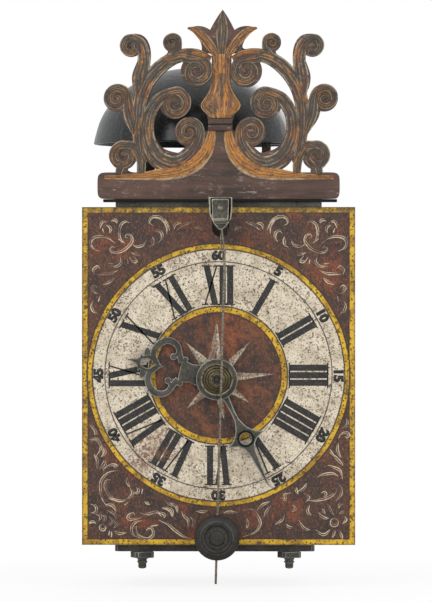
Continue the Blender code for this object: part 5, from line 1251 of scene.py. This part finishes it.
def roundedBoard(name, look):  # the sawn outline runs in curves, points stay sharp
    obj = plainCopy(name)
    low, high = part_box(name)
    editAll(obj)
    bpy.ops.mesh.tris_convert_to_quads(face_threshold=math.radians(1), shape_threshold=math.pi)
    bpy.ops.mesh.select_mode(type="EDGE")
    bpy.ops.mesh.select_all(action="DESELECT")
    leaveEdit()
    for edge in obj.data.edges:
        first, second = (obj.data.vertices[i].co for i in edge.vertices)
        along = abs(first.x - second.x) + abs(first.z - second.z) < tooling["sliver"] * mm
        edge.select = along and min(first.x - low.x, high.x - first.x) < mm
    bpy.ops.object.mode_set(mode="EDIT")
    bpy.ops.mesh.bevel(offset=look["endRound"] * mm, segments=3, affect="EDGES")
    bpy.ops.mesh.select_all(action="DESELECT")
    bpy.ops.mesh.edges_select_sharp(sharpness=math.radians(tooling["carved"]))
    bpy.ops.transform.edge_crease(value=1)
    bpy.ops.mesh.select_mode(type="VERT")
    leaveEdit()
    applyModifier(obj, "SUBSURF", levels=2)
    softEdges(obj, look["edge"], tooling["carved"])
    mergeSlivers(obj)
    return obj


board = roundedBoard("crest", crestLook)
for vert in board.data.vertices:
    if vert.co.y < crestLow.y + crestLook["frontDepth"] * mm:
        vert.co.y += crestLook["cutBack"] * mm
bands = [
    carvedBand(stemBand, 1, crestLook, crestStem, 0, 0.7),
    carvedBand(tipBand, 1, crestLook, crestStroke, 60, 1.1),
]
paintedBands = (
    (crestStroke, scrollBands), (crestStrand, strandBands), (crestStem, leafBands), (creamStroke, creamBands),
)
for material, group in paintedBands:
    for points in group:
        for side in (-1, 1):  # each band a little prouder than the last, so none lies flush with another
            proud = 0.92 + 0.01 * len(bands)
            bands.append(carvedBand(points, side, crestLook, material, len(bands) * 37, proud))

collarLook = {  # two rings over a dark core; the core shows as painted shade in the slot between them
    "half": 9.2, "low": 51.5, "high": 60.5, "depth": 3.4, "slot": 0.9, "soft": 0.9,
    "coreIn": (1, 0.8, 1.4), "coreSoft": 0.3,
}


def crestBlock(low, high, half, depth, material, soft):
    clearSelection()
    bpy.ops.mesh.primitive_cube_add(size=1)
    obj = bpy.context.object
    floor = crestLook["front"] + crestLook["cutBack"]
    for vert in obj.data.vertices:
        v = low if vert.co.z < 0 else high
        u = half if vert.co.x > 0 else -half
        y = floor + 1 if vert.co.y > 0 else floor - depth
        vert.co = ((u + crestLook["lean"] * v) * mm, y * mm, (crestLook["base"] + v) * mm)
    applyModifier(obj, "BEVEL", width=soft * mm, segments=4, limit_method="NONE")
    dressed(obj, material)
    return obj


def crestCollar(look):
    low, high, half, depth = look["low"], look["high"], look["half"], look["depth"]
    lowerTop, upperFoot = ((low + high + gap) / 2 for gap in (-look["slot"], look["slot"]))
    inEnds, inSides, inFront = look["coreIn"]
    paint, iron = finishes["crest_paint"], finishes["dark_iron"]
    return [
        crestBlock(low, lowerTop, half, depth, paint, look["soft"]),
        crestBlock(upperFoot, high, half, depth, paint, look["soft"]),
        # the dark core stands in the slot as painted shade
        crestBlock(low + inEnds, high - inEnds, half - inSides, depth - inFront, iron, look["coreSoft"]),
    ]


crestPiece = joined([board] + bands + crestCollar(collarLook))
smoothed(crestPiece, tooling["carved"])
placePiece(crestPiece, "carved_crest", "frame", "crest_paint", None, "crest")
print("crest carved:", len(bands), "bands")


# Pendulum: the doubled wire at the top of the rod

rodLook = {
    "y": -198.4, "radius": 0.55, "samples": 6,
    "line": ((2.0, -27.3), (2.0, -33.3), (2.9, -40.3), (4.3, -48.3), (4.9, -49.8)),
}
wireLine = [(x, rodLook["y"], z, 1) for x, z in smoothLine(rodLook["line"], rodLook["samples"])]
wire = roundStrokes("wire", [wireLine], rodLook["radius"], 3)
editAll(wire)
bpy.ops.mesh.normals_make_consistent(inside=False)
leaveEdit()
bpy.ops.object.shade_smooth()
placePiece(wire, "rod_wire", "pendulum", "steel", finishes["steel"])
print("rod wire drawn")


# Floor, light and camera

stageLook = {  # lamps: place, target, size and power
    "floor": -0.2925, "floorSize": 12, "pale": (0.86, 0.86, 0.86, 1), "sky": 0.75,
    "middle": -100, "white": (180, 420), "shadow": 0.12,
    "lamps": {
        "keyLamp": ((-0.9, -1.6, 1.1), (0, -0.1, -0.08), 0.9, 9.0),
        "fillLamp": ((1.2, -1.4, 0.5), (0, -0.1, -0.1), 1.0, 5.0),
        "backLamp": ((0.7, 1.6, 0.6), (0, -0.1, -0.1), 1.2, 9.0),
    },
}
clearSelection()
bpy.ops.mesh.primitive_plane_add(size=stageLook["floorSize"], location=(0, 0, stageLook["floor"]))
floorPlane = bpy.context.object
floorPlane.name = "floor"
floorPaint = Paint("paleFloor")
path = floorPaint.add("ShaderNodeLightPath", {}, {}, "Is Camera Ray")
glow = floorPaint.add("ShaderNodeEmission", {}, {"Color": (1, 1, 1, 1), "Strength": 1.0})
floorPaint.put(floorPaint.shader.inputs["Base Color"], stageLook["pale"])
floorPaint.put(floorPaint.shader.inputs["Roughness"], 0.8)
floorX, floorY = floorPaint.axes()[:2]
away = (floorX ** 2 + (floorY - stageLook["middle"]) ** 2) ** 0.5
whitening = away.rise(*stageLook["white"]) * stageLook["shadow"] + (1 - stageLook["shadow"])
matt = Sock(floorPaint, floorPaint.shader.outputs[0])
blend = floorPaint.add("ShaderNodeMixShader", {}, {0: path * whitening, 1: matt, 2: glow})
floorPaint.put(floorPaint.tree.nodes["Material Output"].inputs["Surface"], blend)
floorPlane.data.materials.append(floorPaint.material)

world = bpy.data.worlds.new("studio")
bpy.context.scene.world = world
world.use_nodes = True
sky = Nodes(world.node_tree)
seen = sky.add("ShaderNodeLightPath", {}, {}, "Is Camera Ray")
for kind in ("Is Transmission Ray", "Is Glossy Ray"):
    seen = seen.most(sky.add("ShaderNodeLightPath", {}, {}, kind))
background = world.node_tree.nodes["Background"]
sky.put(background.inputs["Color"], (1, 1, 1, 1))
sky.put(background.inputs["Strength"], seen * (1 - stageLook["sky"]) + stageLook["sky"])

for name, (place, target, size, power) in stageLook["lamps"].items():
    clearSelection()
    bpy.ops.object.light_add(type="AREA", location=place)
    lamp = bpy.context.object
    lamp.name = name
    lamp.data.shape = "DISK"
    lamp.data.size = size
    lamp.data.energy = power
    lamp.rotation_euler = (Vector(target) - Vector(place)).to_track_quat("-Z", "Y").to_euler()

cameraLook = {"x": -0.0019, "z": -0.0775, "distance": 3.4, "lens": 271, "sensor": 36, "aside": 0.046}
cameraData = bpy.data.cameras.new("photoCamera")
cameraData.lens = cameraLook["lens"]
cameraData.sensor_width = cameraLook["sensor"]
camera = bpy.data.objects.new("photoCamera", cameraData)
bpy.context.scene.collection.objects.link(camera)
camera.location = (cameraLook["x"] + cameraLook["aside"], dialFront - cameraLook["distance"], cameraLook["z"])
camera.rotation_euler = (math.pi / 2, 0, math.atan2(cameraLook["aside"], cameraLook["distance"]))
bpy.context.scene.camera = camera
bpy.context.scene.view_settings.view_transform = "Standard"
print("camera and light set")

clearSelection()
